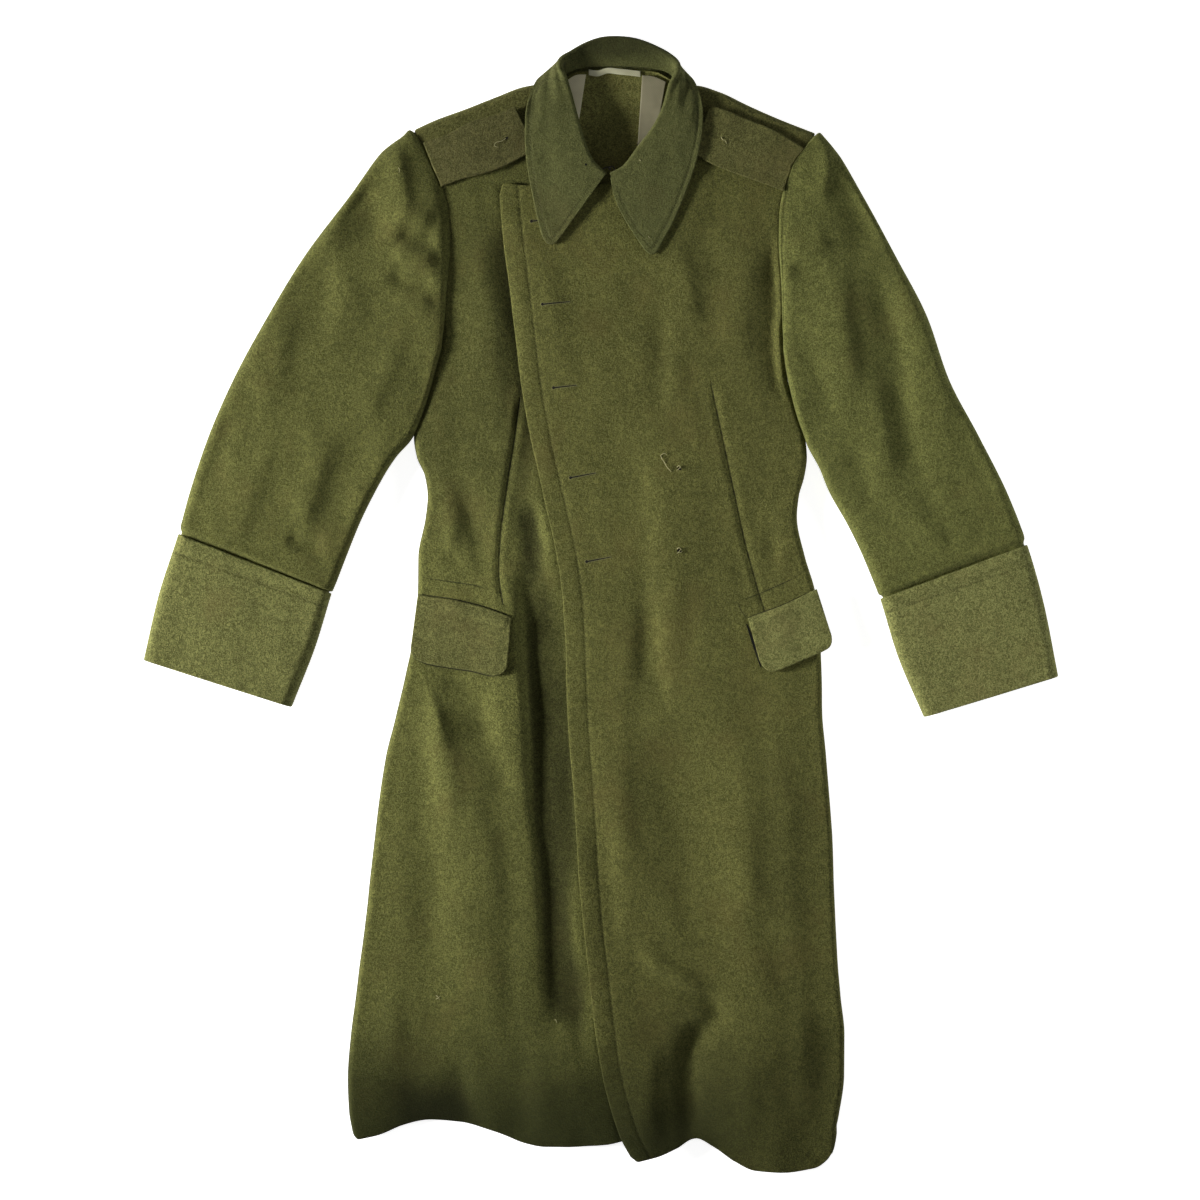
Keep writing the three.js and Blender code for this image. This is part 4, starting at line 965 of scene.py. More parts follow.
def collar_stand_mesh():
    """The stand's under layer, out of sight below the collar's face."""
    centre, outward, lean, _, neck, _ = collar_frames(150)
    leaving = on_roll(centre, outward, -lean, 1) - centre
    below = on_roll(centre, outward, -90 - lean, 1) - centre
    start = on_roll(centre, outward, -90 - lean, COLLAR_ROLL - UNDERLAY)
    t = np.broadcast_to(np.linspace(0, 1, 15)[None], (len(start), 15))
    middle = sweep(start, leaving, neck - below * UNDERLAY, t)
    outer, inner = thickened(middle, 1.0, 0.5)
    return wall_mesh("collar_stand_cloth", outer, inner)


# Pieces laid on the fronts

def laid_grid(outline, columns, rows, corner, corner_sides):
    """Plan places of a piece between its two long sides, with its lower corners rounded."""
    high, low = (curve(points, columns) for points in outline)
    depth = np.linalg.norm(high - low, axis=1)
    length = np.concatenate([[0], np.cumsum(np.linalg.norm(np.diff(low, axis=0), axis=1))])
    cut = np.zeros(columns)
    if "first" in corner_sides:
        s = np.maximum(corner - length, 0)
        cut += corner - np.sqrt(corner ** 2 - s ** 2)
    if "last" in corner_sides:
        s = np.maximum(corner - (length[-1] - length), 0)
        cut += corner - np.sqrt(corner ** 2 - s ** 2)
    t = np.linspace(0, 1, rows)[:, None] * (1 - cut / depth)[None]
    place = high[None] + (low - high)[None] * t[:, :, None]
    return place[:, :, 0], place[:, :, 1], t


def inside_armholes(x, y):
    low = read(SIDES, "y", y, "left") + 1
    high = read(SIDES, "y", y, "right") - 1
    return np.where(y < ARMPIT_HIGH, x, np.clip(x, low, high))


def near_side(x, y, height):
    side = np.where(x < 0, read(SIDES, "y", y, "left"), read(SIDES, "y", y, "right"))
    inside = np.where(x < 0, x - side, side - x) - FOLD_RADIUS
    return (SIDE_TOP_FACE + smooth(0, EDGE_BAND, inside) * (height(x, y) - SIDE_TOP_FACE)
            - STIFF_DROP * smooth(0, 18, -inside))


def laid_mesh(name, outline, face, thickness, grid, lift):
    x, y, t = laid_grid(outline, *grid)
    x = inside_armholes(x, y)
    base = face(x, y)
    bottom = base + LAID_GAP + lift(x, y, t)
    top = bottom + thickness
    outer, inner = rounded(np.stack([x, y, top], 2), np.stack([x, y, bottom], 2), thickness / 2)
    return wall_mesh(name, outer, inner)


def flap_lift(x, y, t):
    """The flap comes out of its seam low, and its free edge stands off the front a little."""
    return -0.9 * (1 - smooth(0, 0.16, t)) + 1.6 * smooth(0.6, 1, t) + 0.25 * RUMPLE(x * 2, y * 2)


def flap_face(x, y, height):
    """What a flap lies on: the front's highest places, bridged."""
    return np.maximum(near_side(x, y, height), near_side(x, y, lambda a, b: height(a, b, False)))


def strap_lift(x, y, t):
    return (0.3 + 0.3 * RUMPLE(x * 1.5 + 200, y * 1.5) + 0.5 * np.sin(math.pi * t)
            + 1.3 * smooth(0.8, 1, t))


# Materials

def new_material(name, roughness, sheen=0.0, metallic=0.0, specular=0.3):
    material = bpy.data.materials.new(name)
    material.use_nodes = True
    nodes = material.node_tree.nodes
    shader = nodes["Principled BSDF"]
    shader.inputs["Roughness"].default_value = roughness
    shader.inputs["Metallic"].default_value = metallic
    shader.inputs["Specular IOR Level"].default_value = specular
    shader.inputs["Sheen Weight"].default_value = sheen
    shader.inputs["Sheen Roughness"].default_value = 0.5
    return material, shader.inputs, Graph(nodes, material.node_tree.links)


class Graph:
    """Short ways to add shader nodes to a material."""

    def __init__(self, nodes, links):
        self.nodes, self.links = nodes, links

    def put(self, socket, value):
        if isinstance(value, bpy.types.NodeSocket):
            self.links.new(value, socket)
        else:
            socket.default_value = value

    def node(self, kind, inputs=(), **settings):
        node = self.nodes.new(kind)
        for key, value in settings.items():
            setattr(node, key, value)
        for key, value in dict(inputs).items():
            self.put(node.inputs[key], value)
        return node

    def math(self, operation, a, b=0.0, c=0.0):
        node = self.node("ShaderNodeMath", {0: a, 1: b, 2: c}, operation=operation)
        return node.outputs[0]

    def noise(self, vector, scale, detail=2.0, roughness=0.5, distortion=0.0):
        return self.node("ShaderNodeTexNoise", {
            "Vector": vector, "Scale": scale, "Detail": detail, "Roughness": roughness,
            "Distortion": distortion}).outputs["Fac"]

    def curls(self, vector, scale, distortion):
        """Thin winding lines, 1 along their middle, as the crimped fibres of a felted nap."""
        value = self.noise(vector, scale, 1.0, 0.5, distortion)
        away = self.math("ABSOLUTE", self.math("SUBTRACT", value, 0.5))
        return self.ranged(away, 0.0, 0.11, 1.0, 0.0, "LINEAR")

    def ranged(self, value, low, high, to_low, to_high, kind="SMOOTHSTEP"):
        node = self.node("ShaderNodeMapRange", {
            "Value": value, "From Min": low, "From Max": high, "To Min": to_low,
            "To Max": to_high}, interpolation_type=kind)
        return node.outputs[0]

    def mix(self, factor, a, b, blend="MIX"):
        node = self.node("ShaderNodeMix", data_type="RGBA", blend_type=blend)
        self.put(node.inputs[0], factor)
        self.put(node.inputs[6], a)
        self.put(node.inputs[7], b)
        return node.outputs[2]


def linear(red, green, blue):
    """A colour of 0 to 255 as the shader takes it."""
    return tuple(((v / 255 + 0.055) / 1.055) ** 2.4 if v > 10 else v / 255 / 12.92
                 for v in (red, green, blue)) + (1.0,)


HEM_PAINTED_SHADE = 0.88  # how far the cloth is darkened towards the hem: painted shade


def wool(name, shade, grain=0.0, contrast=1.0, sewn=False, hem=False, dimmed=()):
    """Felted wool: fibres lying along the grain, worn lighter patches, and a brownish cast in
    places. sewn gives it seams and stitches beside the lines in the sewing attribute, darkened
    in colour as painted shade in their grooves. hem darkens it towards the hem as painted shade.
    Each of dimmed is an axis, where in metres the cloth starts and ends to change along it, and
    how light it is then."""
    material, inputs, g = new_material(name, 0.95, sheen=0.22, specular=0.12)
    inputs["Sheen Tint"].default_value = linear(150, 152, 104)
    place = g.node("ShaderNodeTexCoord").outputs["Object"]
    turned_place = g.node("ShaderNodeMapping", {
        "Vector": place, "Rotation": (0, 0, math.radians(grain))}).outputs[0]
    fibre_place = g.node("ShaderNodeMapping", {
        "Vector": turned_place, "Scale": (1, 0.42, 1)}).outputs[0]
    broad = g.noise(turned_place, 7, 3, 0.55)
    patch = g.noise(turned_place, 45, 3, 0.6)
    curls = g.curls(turned_place, 250, 1.6)
    small_curls = g.curls(turned_place, 520, 1.2)
    fibre = g.noise(fibre_place, 900, 2, 0.7, 0.8)
    clump = g.noise(turned_place, 150, 2, 0.6, 0.5)
    brown = g.ranged(g.noise(turned_place, 16, 4, 0.6), 0.5, 0.72, 0, 1)
    light = 0.5
    for noise, share in ((broad, 0.3), (patch, 0.28), (clump, 0.28), (curls, 0.68),
                         (small_curls, 0.36), (fibre, 0.56)):
        light = g.math("MULTIPLY_ADD", g.math("SUBTRACT", noise, 0.5), share * contrast, light)
    red, green, blue = shade
    dark_shade = linear(red * 0.76, green * 0.77, blue * 0.68)
    light_shade = linear(red * 1.36, green * 1.36, blue * 1.34)
    colour = g.mix(light, dark_shade, light_shade)
    colour = g.mix(g.math("MULTIPLY", brown, 0.28), colour,
                   linear(red * 1.05, green * 0.94, blue * 0.92))
    height = g.math("ADD", g.math("MULTIPLY", curls, 0.7), g.math("MULTIPLY", small_curls, 0.4))
    height = g.math("MULTIPLY_ADD", clump, 0.8, height)
    height = g.math("MULTIPLY_ADD", fibre, 0.3, height)
    spot = g.node("ShaderNodeSeparateXYZ", {0: place}).outputs
    # Painted shade: the cloth darkens towards the hem along a wandering edge, less right of the
    # middle.
    if hem:
        wander = g.math("MULTIPLY_ADD", broad, 0.12, spot[1])
        hem_shade_mask = g.math("MULTIPLY", g.ranged(wander, -0.36, -0.53, 0.0, HEM_PAINTED_SHADE),
                        g.ranged(spot[0], 0.1, 0.2, 1.0, 0.35))
        colour = g.mix(hem_shade_mask, colour, linear(red * 0.5, green * 0.53, blue * 0.46))
    for axis, low, high, share in dimmed:
        there = g.ranged(spot[axis], low, high, 0.0, 1.0)
        colour = g.mix(there, colour, (share ** 2.2,) * 3 + (1.0,), "MULTIPLY")
    if sewn:
        lines = g.node("ShaderNodeAttribute", attribute_name="sewing").outputs["Vector"]
        parts = g.node("ShaderNodeSeparateXYZ", {0: lines}).outputs
        stitched, seamed, pocket = (g.math("ABSOLUTE", parts[k]) for k in range(3))
        dash = g.math("SINE", g.math("MULTIPLY", g.math("ADD", spot[0], spot[1]),
                                     2 * math.pi / (3.6 * MM)))
        dash = g.ranged(dash, -0.3, 0.4, 0.35, 1)
        uneven = g.ranged(clump, 0.35, 0.65, 0.55, 1)
        soft = g.math("MULTIPLY", g.ranged(stitched, 0.3, 2.2, 0.5, 0),
                      g.math("MULTIPLY", dash, uneven))
        seam = g.math("MULTIPLY", g.ranged(seamed, 0.35, 1.5, 0.95, 0), uneven)
        small = g.math("MULTIPLY", g.ranged(pocket, 0.2, 1.6, 0.5, 0),
                       g.math("MULTIPLY", dash, uneven))
        # Seams and stitches are darkened in colour as painted shade in their grooves; the bump
        # sinks them too.
        sunk = g.math("MAXIMUM", g.math("MAXIMUM", soft, seam), small)
        colour = g.mix(sunk, colour, linear(red * 0.3, green * 0.3, blue * 0.25))
        height = g.math("MULTIPLY_ADD", sunk, -1.6, height)
    g.put(inputs["Base Color"], colour)
    bump = g.node("ShaderNodeBump", {"Strength": 0.6, "Distance": 0.9 * MM, "Height": height})
    g.put(inputs["Normal"], bump.outputs[0])
    return material


def twill(name, shade):
    """Cotton twill lining: fine diagonal ribs with a faint sheen."""
    material, inputs, g = new_material(name, 0.6, sheen=0.1, specular=0.35)
    place = g.node("ShaderNodeTexCoord").outputs["Object"]
    ribs = g.node("ShaderNodeTexWave", {
        "Vector": place, "Scale": 330, "Distortion": 1.2, "Detail": 2},
        wave_type="BANDS", bands_direction="DIAGONAL").outputs["Fac"]
    patch = g.noise(place, 60, 4, 0.6)
    red, green, blue = shade
    colour = g.mix(g.math("MULTIPLY_ADD", ribs, 0.35, g.math("MULTIPLY", patch, 0.6)),
                   linear(red * 0.82, green * 0.8, blue * 0.76),
                   linear(red * 1.14, green * 1.14, blue * 1.16))
    g.put(inputs["Base Color"], colour)
    bump = g.node("ShaderNodeBump", {"Strength": 0.35, "Distance": 0.3 * MM, "Height": ribs})
    g.put(inputs["Normal"], bump.outputs[0])
    return material


def plain(name, shade, roughness, metallic=0.0):
    """Thread, wire and the flat dark of painted shadows, with a little unevenness."""
    material, inputs, g = new_material(name, roughness, metallic=metallic)
    place = g.node("ShaderNodeTexCoord").outputs["Object"]
    patch = g.noise(place, 900, 3, 0.6)
    red, green, blue = shade
    colour = g.mix(patch, linear(red * 0.7, green * 0.7, blue * 0.7),
                   linear(min(red * 1.3, 255), min(green * 1.3, 255), min(blue * 1.3, 255)))
    g.put(inputs["Base Color"], colour)
    g.put(inputs["Roughness"], g.ranged(patch, 0.3, 0.7, roughness - 0.12, roughness + 0.1))
    return material


BODY = wool("wool_body", (84, 84, 46), 0, sewn=True, hem=True)
# A lighter copy of the body's wool for the under front: painted light. It is darkened from the
# waist up, and darkened in its low places as painted shade in the creases.
BODY_LEFT = wool("wool_body_left", (89, 90, 50), 0, sewn=True, hem=True,
                 dimmed=[(1, 0.02, 0.18, 0.89), (2, 0.0125, 0.008, 0.68)])
# The back's wool is painted lighter than the fronts' as painted light inside the neck, and darker
# on its high shoulder folds as painted shade.
BACK = wool("wool_back", (102, 101, 59), 0, dimmed=[(2, 0.009, 0.013, 0.8)])
# Lit and shaded copies of one wool: the left sleeve is painted darker than the right, as painted
# shade against the stronger lamp on its side.
SLEEVE_LEFT = wool("wool_sleeve_left", (83, 84, 46), 24)
SLEEVE_RIGHT = wool("wool_sleeve_right", (88, 90, 50), -24)
# Lit and shaded copies of one wool: the left cuff is painted darker than the right, as painted
# shade against the stronger lamp on its side.
CUFF = {"left": wool("wool_cuff_left", (99, 100, 60), 24, 1.1, sewn=True),
        "right": wool("wool_cuff_right", (105, 106, 65), -24, 1.1, sewn=True)}
# The collar's wool is darkened along its top, round the back of the neck, as painted shade. The
# stand's under layer is a darker copy of the same wool: painted shade.
COLLAR_CLOTH = wool("wool_collar", (79, 81, 49), 0, 0.7, sewn=True,
                    dimmed=[(1, 0.59, 0.612, 0.72)])
STAND_CLOTH = wool("wool_stand", (62, 62, 40), 0, 0.8)
# Lit and shaded copies of one wool: the left strap is painted darker than the right, as painted
# shade against the stronger lamp on its side.
STRAP_CLOTH = {"left": wool("wool_strap_left", (79, 77, 47), 0),
               "right": wool("wool_strap_right", (85, 84, 50), 0)}
# Lit and shaded copies of one wool: the right flap is painted lighter than the left, as painted
# light.
FLAP_CLOTH = {"left": wool("wool_flap_left", (92, 92, 55), 0),
              "right": wool("wool_flap_right", (101, 102, 62), 0)}
# The left lining is painted far lighter than the right, as painted light where the collar shades
# it.
LINING_CLOTH = {"left": twill("lining_twill_left", (205, 200, 166)),
                "right": twill("lining_twill_right", (134, 130, 104))}
TAPE_CLOTH = twill("hanger_tape", (184, 184, 153))
PURL = plain("buttonhole_twist", (98, 97, 58), 0.8)
THREAD = plain("thread", (150, 146, 104), 0.8)
# Black for painted shade in buttonhole slits, needle holes and the gap beside the right flap.
PAINTED_SHADOW = plain("slit_shadow", (12, 12, 8), 1.0)
SEAM_SHADOW = plain("seam_shadow", (40, 40, 22), 1.0)
WIRE = plain("blackened_wire", (58, 56, 52), 0.42, 0.85)

# Cloth pieces

front_over = front(
    "front_over_cloth", -1, "right", lap_edge, (HEM_OVER, -614), (TOP_OVER, 459), over_top,
    OVER_COLUMNS, (7.0, 9.0))
sewing(front_over, lambda x, y: x - lap_edge(y) - STITCH_FROM_EDGE,
       lambda x, y: near(curve(DART_RIGHT, 60), x, y)[0],
       lambda x, y: near(curve(POCKET_RIGHT, 30), x, y)[0])
add_piece(front_over, BODY, ["front_over"])
front_under = front(
    "front_under_cloth", 1, "left", under_edge, (HEM_UNDER, -586), (TOP_UNDER, 455), under_top,
    UNDER_COLUMNS, (0.01, 0.01))
sewing(front_under, None, lambda x, y: near(curve(DART_LEFT, 60), x, y)[0],
       lambda x, y: near(curve(POCKET_LEFT, 30), x, y)[0])
add_piece(front_under, BODY_LEFT, ["front_under"])
add_piece(back_mesh(), BACK, ["back"])
for side, rows, creases, shift, material in (
        ("left", LEFT_SLEEVE, CREASES_LEFT_SLEEVE, 40, SLEEVE_LEFT),
        ("right", RIGHT_SLEEVE, CREASES_RIGHT_SLEEVE, 640, SLEEVE_RIGHT)):
    add_piece(sleeve_mesh(f"sleeve_{side}_cloth", rows, side, creases, shift), material,
              [f"sleeve_{side}"])
    add_piece(cuff_mesh(f"cuff_{side}_cloth", rows, side, shift), CUFF[side], [f"cuff_{side}"])
add_piece(collar_fall_mesh(), COLLAR_CLOTH, ["collar_fall"])
add_piece(collar_stand_mesh(), STAND_CLOTH, ["collar_stand"])


def strap_face(x, y):
    over = np.maximum(near_side(x, y, over_top), SIDE_TOP_FACE)
    under = np.maximum(near_side(x, y, under_top), SIDE_TOP_FACE)
    return np.where(x < 0, under, over)


# Columns, rows, the corners' radius, and which of the two lower corners have it
STRAP_GRID = (64, 26, 4.0, ("last",))
FLAP_GRID = (60, 34, 9.0, ("first", "last"))
for side, outline in (("left", LEFT_STRAP), ("right", RIGHT_STRAP)):
    mesh = laid_mesh(f"strap_{side}_cloth", outline, strap_face, TRIM_WOOL, STRAP_GRID, strap_lift)
    add_piece(mesh, STRAP_CLOTH[side], [f"shoulder_strap_{side}"])
for side, outline, height in (("left", LEFT_FLAP, under_top), ("right", RIGHT_FLAP, over_top)):
    mesh = laid_mesh(f"flap_{side}_cloth", outline, lambda x, y: flap_face(x, y, height),
                     TRIM_WOOL, FLAP_GRID, flap_lift)
    add_piece(mesh, FLAP_CLOTH[side], [f"pocket_flap_{side}"])
for side, outline, cut, area in (("left", LEFT_LINING, (0.024, 0.05), 0.00107),
                                 ("right", RIGHT_LINING, (0.03, 0.09), 0.0021)):
    mesh = laid_mesh(f"lining_{side}_cloth", outline, lambda x, y: neck_raise(x, y) + WOOL + 0.5,
                     LINING, (14, 26, 0.01, ()), lambda x, y, t: 0.3 * RUMPLE(x * 3, y * 3) + 0.3)
    add_piece(mesh, LINING_CLOTH[side], [f"lining_{side}"])


def hanger_mesh():
    line = curve(np.stack([HANGER[k] for k in ("x", "y", "z", "tilt")], axis=1), 60)
    tilt = np.radians(line[:, 3])[:, None]
    w = np.linspace(-HANGER_WIDTH / 2, HANGER_WIDTH / 2, 9)[None]
    middle = np.stack([line[:, :1] + 0 * w, line[:, 1:2] + w * np.cos(tilt),
                       line[:, 2:3] + w * np.sin(tilt)], axis=2)
    return wall_mesh("hanger_tape", *thickened(middle, 0.8, 0.4))


add_piece(hanger_mesh(), TAPE_CLOTH, ["hanger_loop"])
for name in ("hook", "eye"):
    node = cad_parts[name]
    node.data.materials.clear()
    node.data.materials.append(WIRE)


# Thread work

def tube_mesh(lines, radii, sides=6):
    """One mesh of round threads along lines of points."""
    points, faces, count = [], [], 0
    angle = np.linspace(0, 2 * math.pi, sides, endpoint=False)
    for line, radius in zip(lines, radii):
        tangent = np.gradient(line, axis=0)
        tangent /= np.linalg.norm(tangent, axis=1, keepdims=True)
        level = np.cross(tangent, (0.01, 0.02, 1.0))
        level /= np.linalg.norm(level, axis=1, keepdims=True)
        upward = np.cross(level, tangent)
        size = np.broadcast_to(radius, len(line))[:, None, None]
        ring = (line[:, None] + size * (level[:, None] * np.cos(angle)[None, :, None]
                                        + upward[:, None] * np.sin(angle)[None, :, None]))
        points.append(ring.reshape(-1, 3))
        place = count + np.arange(len(line) * sides).reshape(len(line), sides)
        nearby = np.roll(place, -1, axis=1)
        faces.append(np.stack([place[:-1], nearby[:-1], nearby[1:], place[1:]],
                              axis=-1).reshape(-1, 4))
        count += len(line) * sides
    return np.concatenate(points), np.concatenate(faces)


def ribbon_mesh(name, ribbons):
    """One mesh of flat ribbons, each an array of the points along its two edges."""
    points, faces, count = [], [], 0
    for ribbon in ribbons:
        points.append(ribbon.reshape(-1, 3))
        place = count + np.arange(2 * len(ribbon)).reshape(-1, 2)
        faces.append(np.stack([place[:-1, 0], place[:-1, 1], place[1:, 1], place[1:, 0]], axis=1))
        count += 2 * len(ribbon)
    return mesh_of(name, np.concatenate(points), np.concatenate(faces))


def over_surface(x, y):
    start = read(SIDES, "y", y, "right") - FOLD_RADIUS
    inside = smooth(0, EDGE_BAND, np.abs(x - start))
    return SIDE_TOP_FACE + inside * (over_top(x, y) - SIDE_TOP_FACE)


def on(surface, points, lift):
    """Points of the plan laid on a surface."""
    x, y = np.array(points, float).T
    return np.stack([x, y, surface(x, y) + lift], axis=1)


def buttonholes():
    lips, radii, slits = [], [], []
    for (ax, ay), (bx, by) in BUTTONHOLES:
        a, b = np.array([ax, ay]), np.array([bx, by])
        u = (b - a) / np.linalg.norm(b - a)
        n = np.array([-u[1], u[0]])
        eye = a + u * 1.8
        turn = np.radians(np.linspace(35, 325, 15))
        around = eye + 1.9 * (np.outer(np.cos(turn), u) + np.outer(np.sin(turn), n))
        upper = np.linspace(b + n * 0.75, around[0], 40)[:-1]
        lower = np.linspace(around[-1], b - n * 0.75, 40)[1:]
        line = on(over_surface, np.concatenate([upper, around, lower]), 0.1)
        lips.append(line)
        purl = 0.42 + 0.1 * np.sin(np.arange(len(line)) * 2.2)
        radii.append(purl)
        bar = on(over_surface, np.linspace(b + n * 1.1, b - n * 1.1, 8), 0.1)
        lips.append(bar)
        radii.append(0.4)
        # Each slit is a dark ribbon laid on the cloth: painted shade in its opening.
        width = np.concatenate([2.0 * np.sqrt(np.maximum(0, 1 - np.linspace(-1, 0.9, 8) ** 2)),
                                np.linspace(0.95, 0.5, 12)])
        t = np.concatenate([np.linspace(0, 3.2, 8), np.linspace(4, np.linalg.norm(b - a), 12)])
        middle = a + np.outer(t, u)
        slits.append(np.stack([on(over_surface, middle + n * width[:, None], 0.4),
                               on(over_surface, middle - n * width[:, None], 0.4)], axis=1))
    points, faces = tube_mesh(lips, radii)
    add_piece(mesh_of("buttonhole_thread", points, faces), PURL, [])
    add_piece(ribbon_mesh("buttonhole_slits", slits), PAINTED_SHADOW, [])


buttonholes()

# Ends of thread where buttons were: the cloth they stand in, their radius, and points as x, y and
# height over the cloth.
REMNANTS = [
    ("front_over_cloth", 0.4, [(66, 164, 0.2), (67.5, 160, 1.8), (69.9, 156.8, 0.4),
                               (73, 151, 2.2), (78, 145.6, 0.2)]),
    ("front_over_cloth", 0.35, [(66, 164, 0.2), (70, 166, 1.6), (73.5, 164, 0.2)]),
    ("front_over_cloth", 0.4, [(84, 151, 0.2), (86.5, 152.5, 2.6), (88.5, 149.5, 0.2)]),
    ("front_over_cloth", 0.35, [(88, 151.6, 0.2), (86, 149, 2), (83.5, 147.4, 0.2)]),
    ("front_over_cloth", 0.4, [(84, 61, 0.2), (86.4, 62.4, 2.6), (89, 59.6, 0.2)]),
    ("front_over_cloth", 0.35, [(88.6, 60.8, 0.2), (86, 58, 2.2), (84, 55.8, 0.2)]),
    ("front_over_cloth", 0.35, [(85, 57.4, 0.2), (88, 57, 1.8), (90, 58.6, 0.2)]),
    ("front_under_cloth", 0.4, [(-181, -430, 0.2), (-178.6, -431.6, 1.5), (-177, -434.4, 0.2)]),
    ("front_under_cloth", 0.35, [(-181, -434, 0.2), (-179, -433, 1.2), (-176.6, -430.6, 0.2)]),
    ("front_under_cloth", 0.35, [(-50.4, -456.6, 0.2), (-49, -458, 1.4), (-48, -460.6, 0.2)]),
    ("strap_left_cloth", 0.35, [(-104, 512, 0.2), (-109, 508.6, 1.6), (-114.6, 507.4, 1.2),
                                (-116.4, 503.6, 1.4), (-112.6, 502.2, 0.4)]),
    ("strap_right_cloth", 0.42, [(132.4, 513.8, 0.2), (134, 510.6, 1.8), (136.6, 509.8, 1.2),
                                 (138.6, 506.4, 0.2)]),
    ("collar_fall_cloth", 0.3, [(42, 486.8, 0.1), (43.4, 487.4, 0.9), (44.4, 486, 0.1)]),
    ("collar_fall_cloth", 0.3, [(52.4, 404.4, 0.1), (53.4, 402.8, 0.9), (54.6, 402.4, 0.1)]),
    ("sleeve_left_cloth", 0.35, [(-221.4, 479, 0.1), (-220.4, 476.8, 1.2), (-220.8, 474, 0.1)]),
]


def above_flap(flap):
    return [(x, y + FLAP_SEAM) for x, y in flap[0]]


def below_flap(flap):
    return [(x, y - 0.9) for x, y in curve(flap[1], 12)[1:-1]]


# Dark seam lines, a painted shadow below the left flap, and painted shade in needle holes and in
# the gap beside the right flap: the cloth, half width, and a line.
SEAMS = [
    ("front_over_cloth", 0.45, above_flap(RIGHT_FLAP)[:5]),
    ("front_under_cloth", 0.45, above_flap(LEFT_FLAP)),
    ("front_over_cloth", 0.35, POCKET_RIGHT[:4]),
    ("front_under_cloth", 0.35, POCKET_LEFT),
    ("front_over_cloth", 0.3, [(150, 4), (156, -9), (162, -15)]),
    # painted shadow just below the left flap's lower edge
    ("front_under_cloth", 0.7, below_flap(LEFT_FLAP)),
]
HOLES = [
    ("strap_left_cloth", 1.2, [(-105.4, 511.4), (-101.6, 513)]),
    ("strap_left_cloth", 0.5, [(-111, 508.2), (-101, 513.4)]),
    ("collar_fall_cloth", 1.2, [(-17.2, 482), (-14.8, 483)]),
    ("front_over_cloth", 1.6, [(84.4, 150), (88.6, 148.4)]),
    ("front_over_cloth", 1.9, [(84.2, 59.6), (88.6, 58.2)]),
    ("front_over_cloth", 1.0, [(66, 163), (67.4, 161)]),
    # painted shadow in the gap beside the right flap's left edge, where it stands off the front
    ("front_over_cloth", 1.5, [(160.6, -21), (169, -45), (176.4, -69)]),
]


def cloth_top(name):
    """The height of a cloth's upper face at places of the plan."""
    depsgraph = bpy.context.evaluated_depsgraph_get()
    tree = BVHTree.FromObject(bpy.data.objects[name], depsgraph)

    def top(x, y):
        hits = [tree.ray_cast(Vector((px * MM, py * MM, 0.1)), Vector((0, 0, -1)))[0]
                for px, py in zip(x, y)]
        return np.array([hit.z / MM for hit in hits])

    return top


def remnants():
    tops = {name: cloth_top(name) for name, _, _ in REMNANTS}
    lines, radii = [], []
    for name, radius, points in REMNANTS:
        line = curve(points, 16)
        line[:, 2] += tops[name](line[:, 0], line[:, 1])
        lines.append(line)
        radii.append(radius * (1 - 0.4 * np.linspace(0, 1, 16) ** 3))
    points, faces = tube_mesh(lines, radii, 5)
    add_piece(mesh_of("thread_ends", points, faces), THREAD, [])
    for piece, material, rows, count in (("needle_holes", PAINTED_SHADOW, HOLES, 7),
                                         ("seam_lines", SEAM_SHADOW, SEAMS, 40)):
        ribbons = []
        for name, half, ends in rows:
            line = curve(ends, count)
            along = np.gradient(line, axis=0)
            side = np.stack([-along[:, 1], along[:, 0]], axis=1)
            side *= half / np.linalg.norm(side, axis=1, keepdims=True)
            swell = np.sqrt(1 - np.linspace(-0.95, 0.95, count) ** 2)[:, None]
            strip = np.stack([line + side * swell, line - side * swell], axis=1).reshape(-1, 2)
            z = tops[name](strip[:, 0], strip[:, 1]) + 0.3
            ribbons.append(np.column_stack([strip, z]).reshape(-1, 2, 3))
        add_piece(ribbon_mesh(piece, ribbons), material, [])


remnants()

# Floor, light and camera

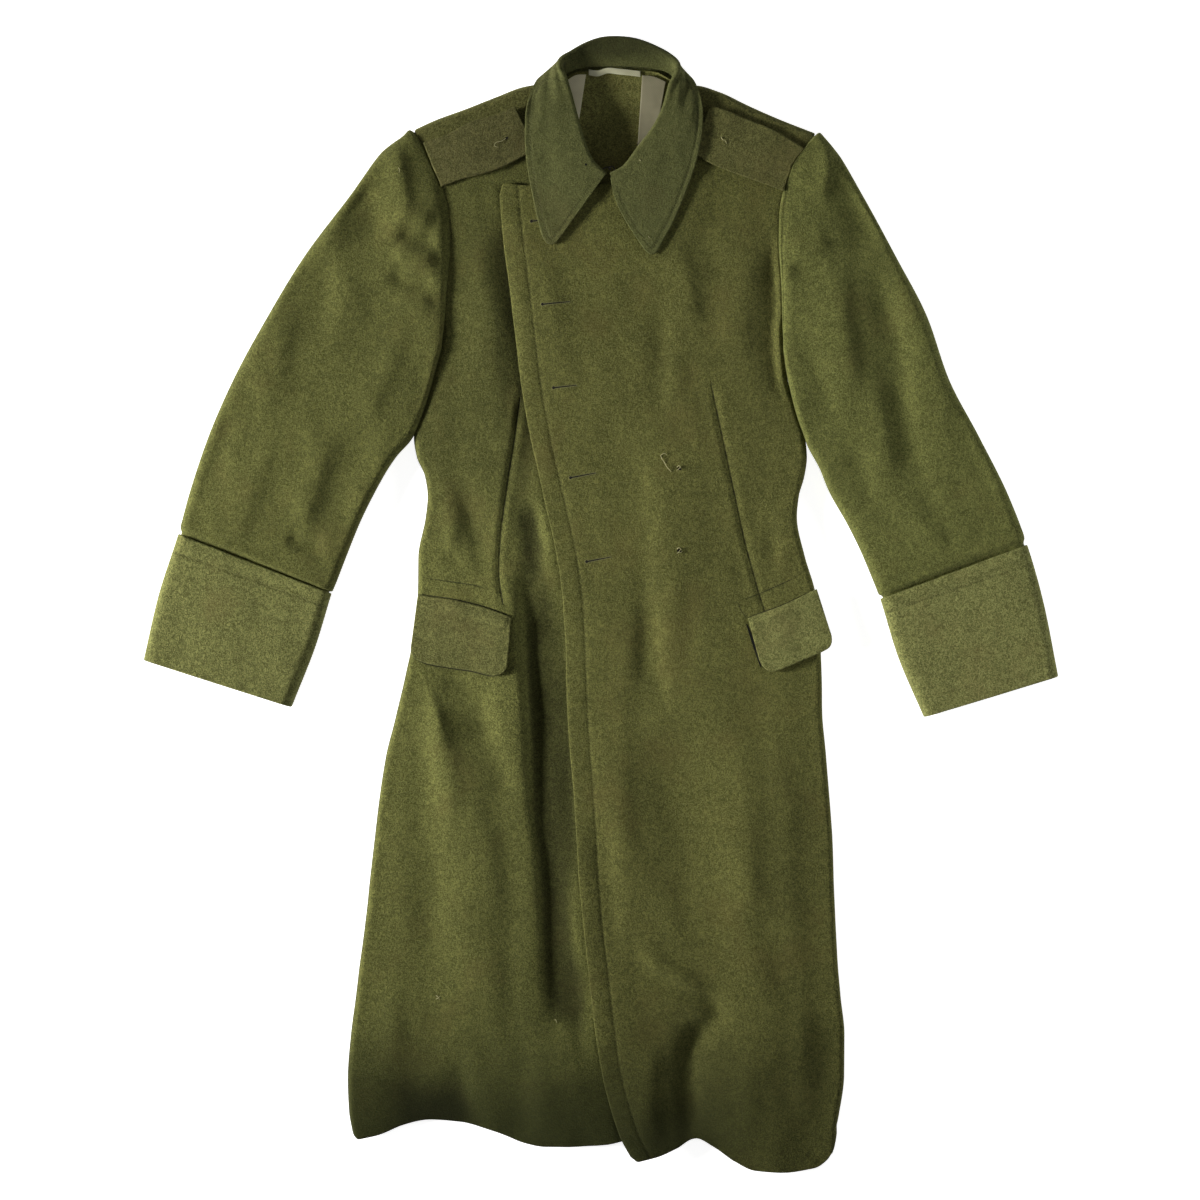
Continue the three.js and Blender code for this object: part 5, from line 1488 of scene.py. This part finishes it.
floor_mesh = bpy.data.meshes.new("floor")
FLOOR = 6.0
floor_mesh.from_pydata([(-FLOOR, -FLOOR, -0.0008), (FLOOR, -FLOOR, -0.0008),
                        (FLOOR, FLOOR, -0.0008), (-FLOOR, FLOOR, -0.0008)], [], [(0, 1, 2, 3)])
floor = bpy.data.objects.new("floor", floor_mesh)
bpy.context.scene.collection.objects.link(floor)
floor_material, floor_inputs, _ = new_material("pale_floor", 0.9, specular=0.1)
floor_inputs["Base Color"].default_value = (0.9, 0.9, 0.9, 1)
floor_inputs["Emission Color"].default_value = (1, 1, 1, 1)
floor_inputs["Emission Strength"].default_value = 0.85
floor_mesh.materials.append(floor_material)


def area_light(name, place, size, power, colour, aim, spread=180):
    light = bpy.data.lights.new(name, "AREA")
    light.shape, light.size, light.size_y = "RECTANGLE", size[0], size[1]
    light.energy, light.color = power, colour
    light.spread = math.radians(spread)
    lamp = bpy.data.objects.new(name, light)
    lamp.location = place
    direction = np.array(aim) - np.array(place)
    pitch = math.atan2(math.hypot(direction[0], direction[1]), -direction[2])
    lamp.rotation_euler = (pitch, 0, math.atan2(-direction[0], direction[1]))
    bpy.context.scene.collection.objects.link(lamp)


area_light("left_window", (-3.2, 0.06, 1.1), (1.0, 0.6), 16, (1.0, 0.985, 0.95), (0, 0.06, 0), 40)
area_light("right_window", (1.7, 0.06, 0.6), (0.9, 0.35), 1.5, (0.97, 0.985, 1.0), (0, 0.06, 0), 62)
area_light("overhead", (0, 0.2, 3.2), (1.6, 1.6), 3, (1, 1, 1), (0, 0, 0))
world = bpy.data.worlds.new("studio")
world.use_nodes = True
world.node_tree.nodes["Background"].inputs["Color"].default_value = (1, 1, 1, 1)
world.node_tree.nodes["Background"].inputs["Strength"].default_value = 0.12
bpy.context.scene.world = world
bpy.context.scene.view_settings.view_transform = "Standard"
bpy.context.scene.view_settings.look = "None"

CAMERA_HEIGHT = 3.5
FIELD = 1.32  # width of the photograph's frame at the coat, in metres
PHOTO_CENTRE = (-0.00055, 0.00495)
camera_data = bpy.data.cameras.new("camera")
camera_data.sensor_width = 36
camera_data.lens = 36 * (CAMERA_HEIGHT - CHEST_TOP * MM) / FIELD
camera = bpy.data.objects.new("camera", camera_data)
camera.location = (*PHOTO_CENTRE, CAMERA_HEIGHT)
bpy.context.scene.collection.objects.link(camera)
bpy.context.scene.camera = camera
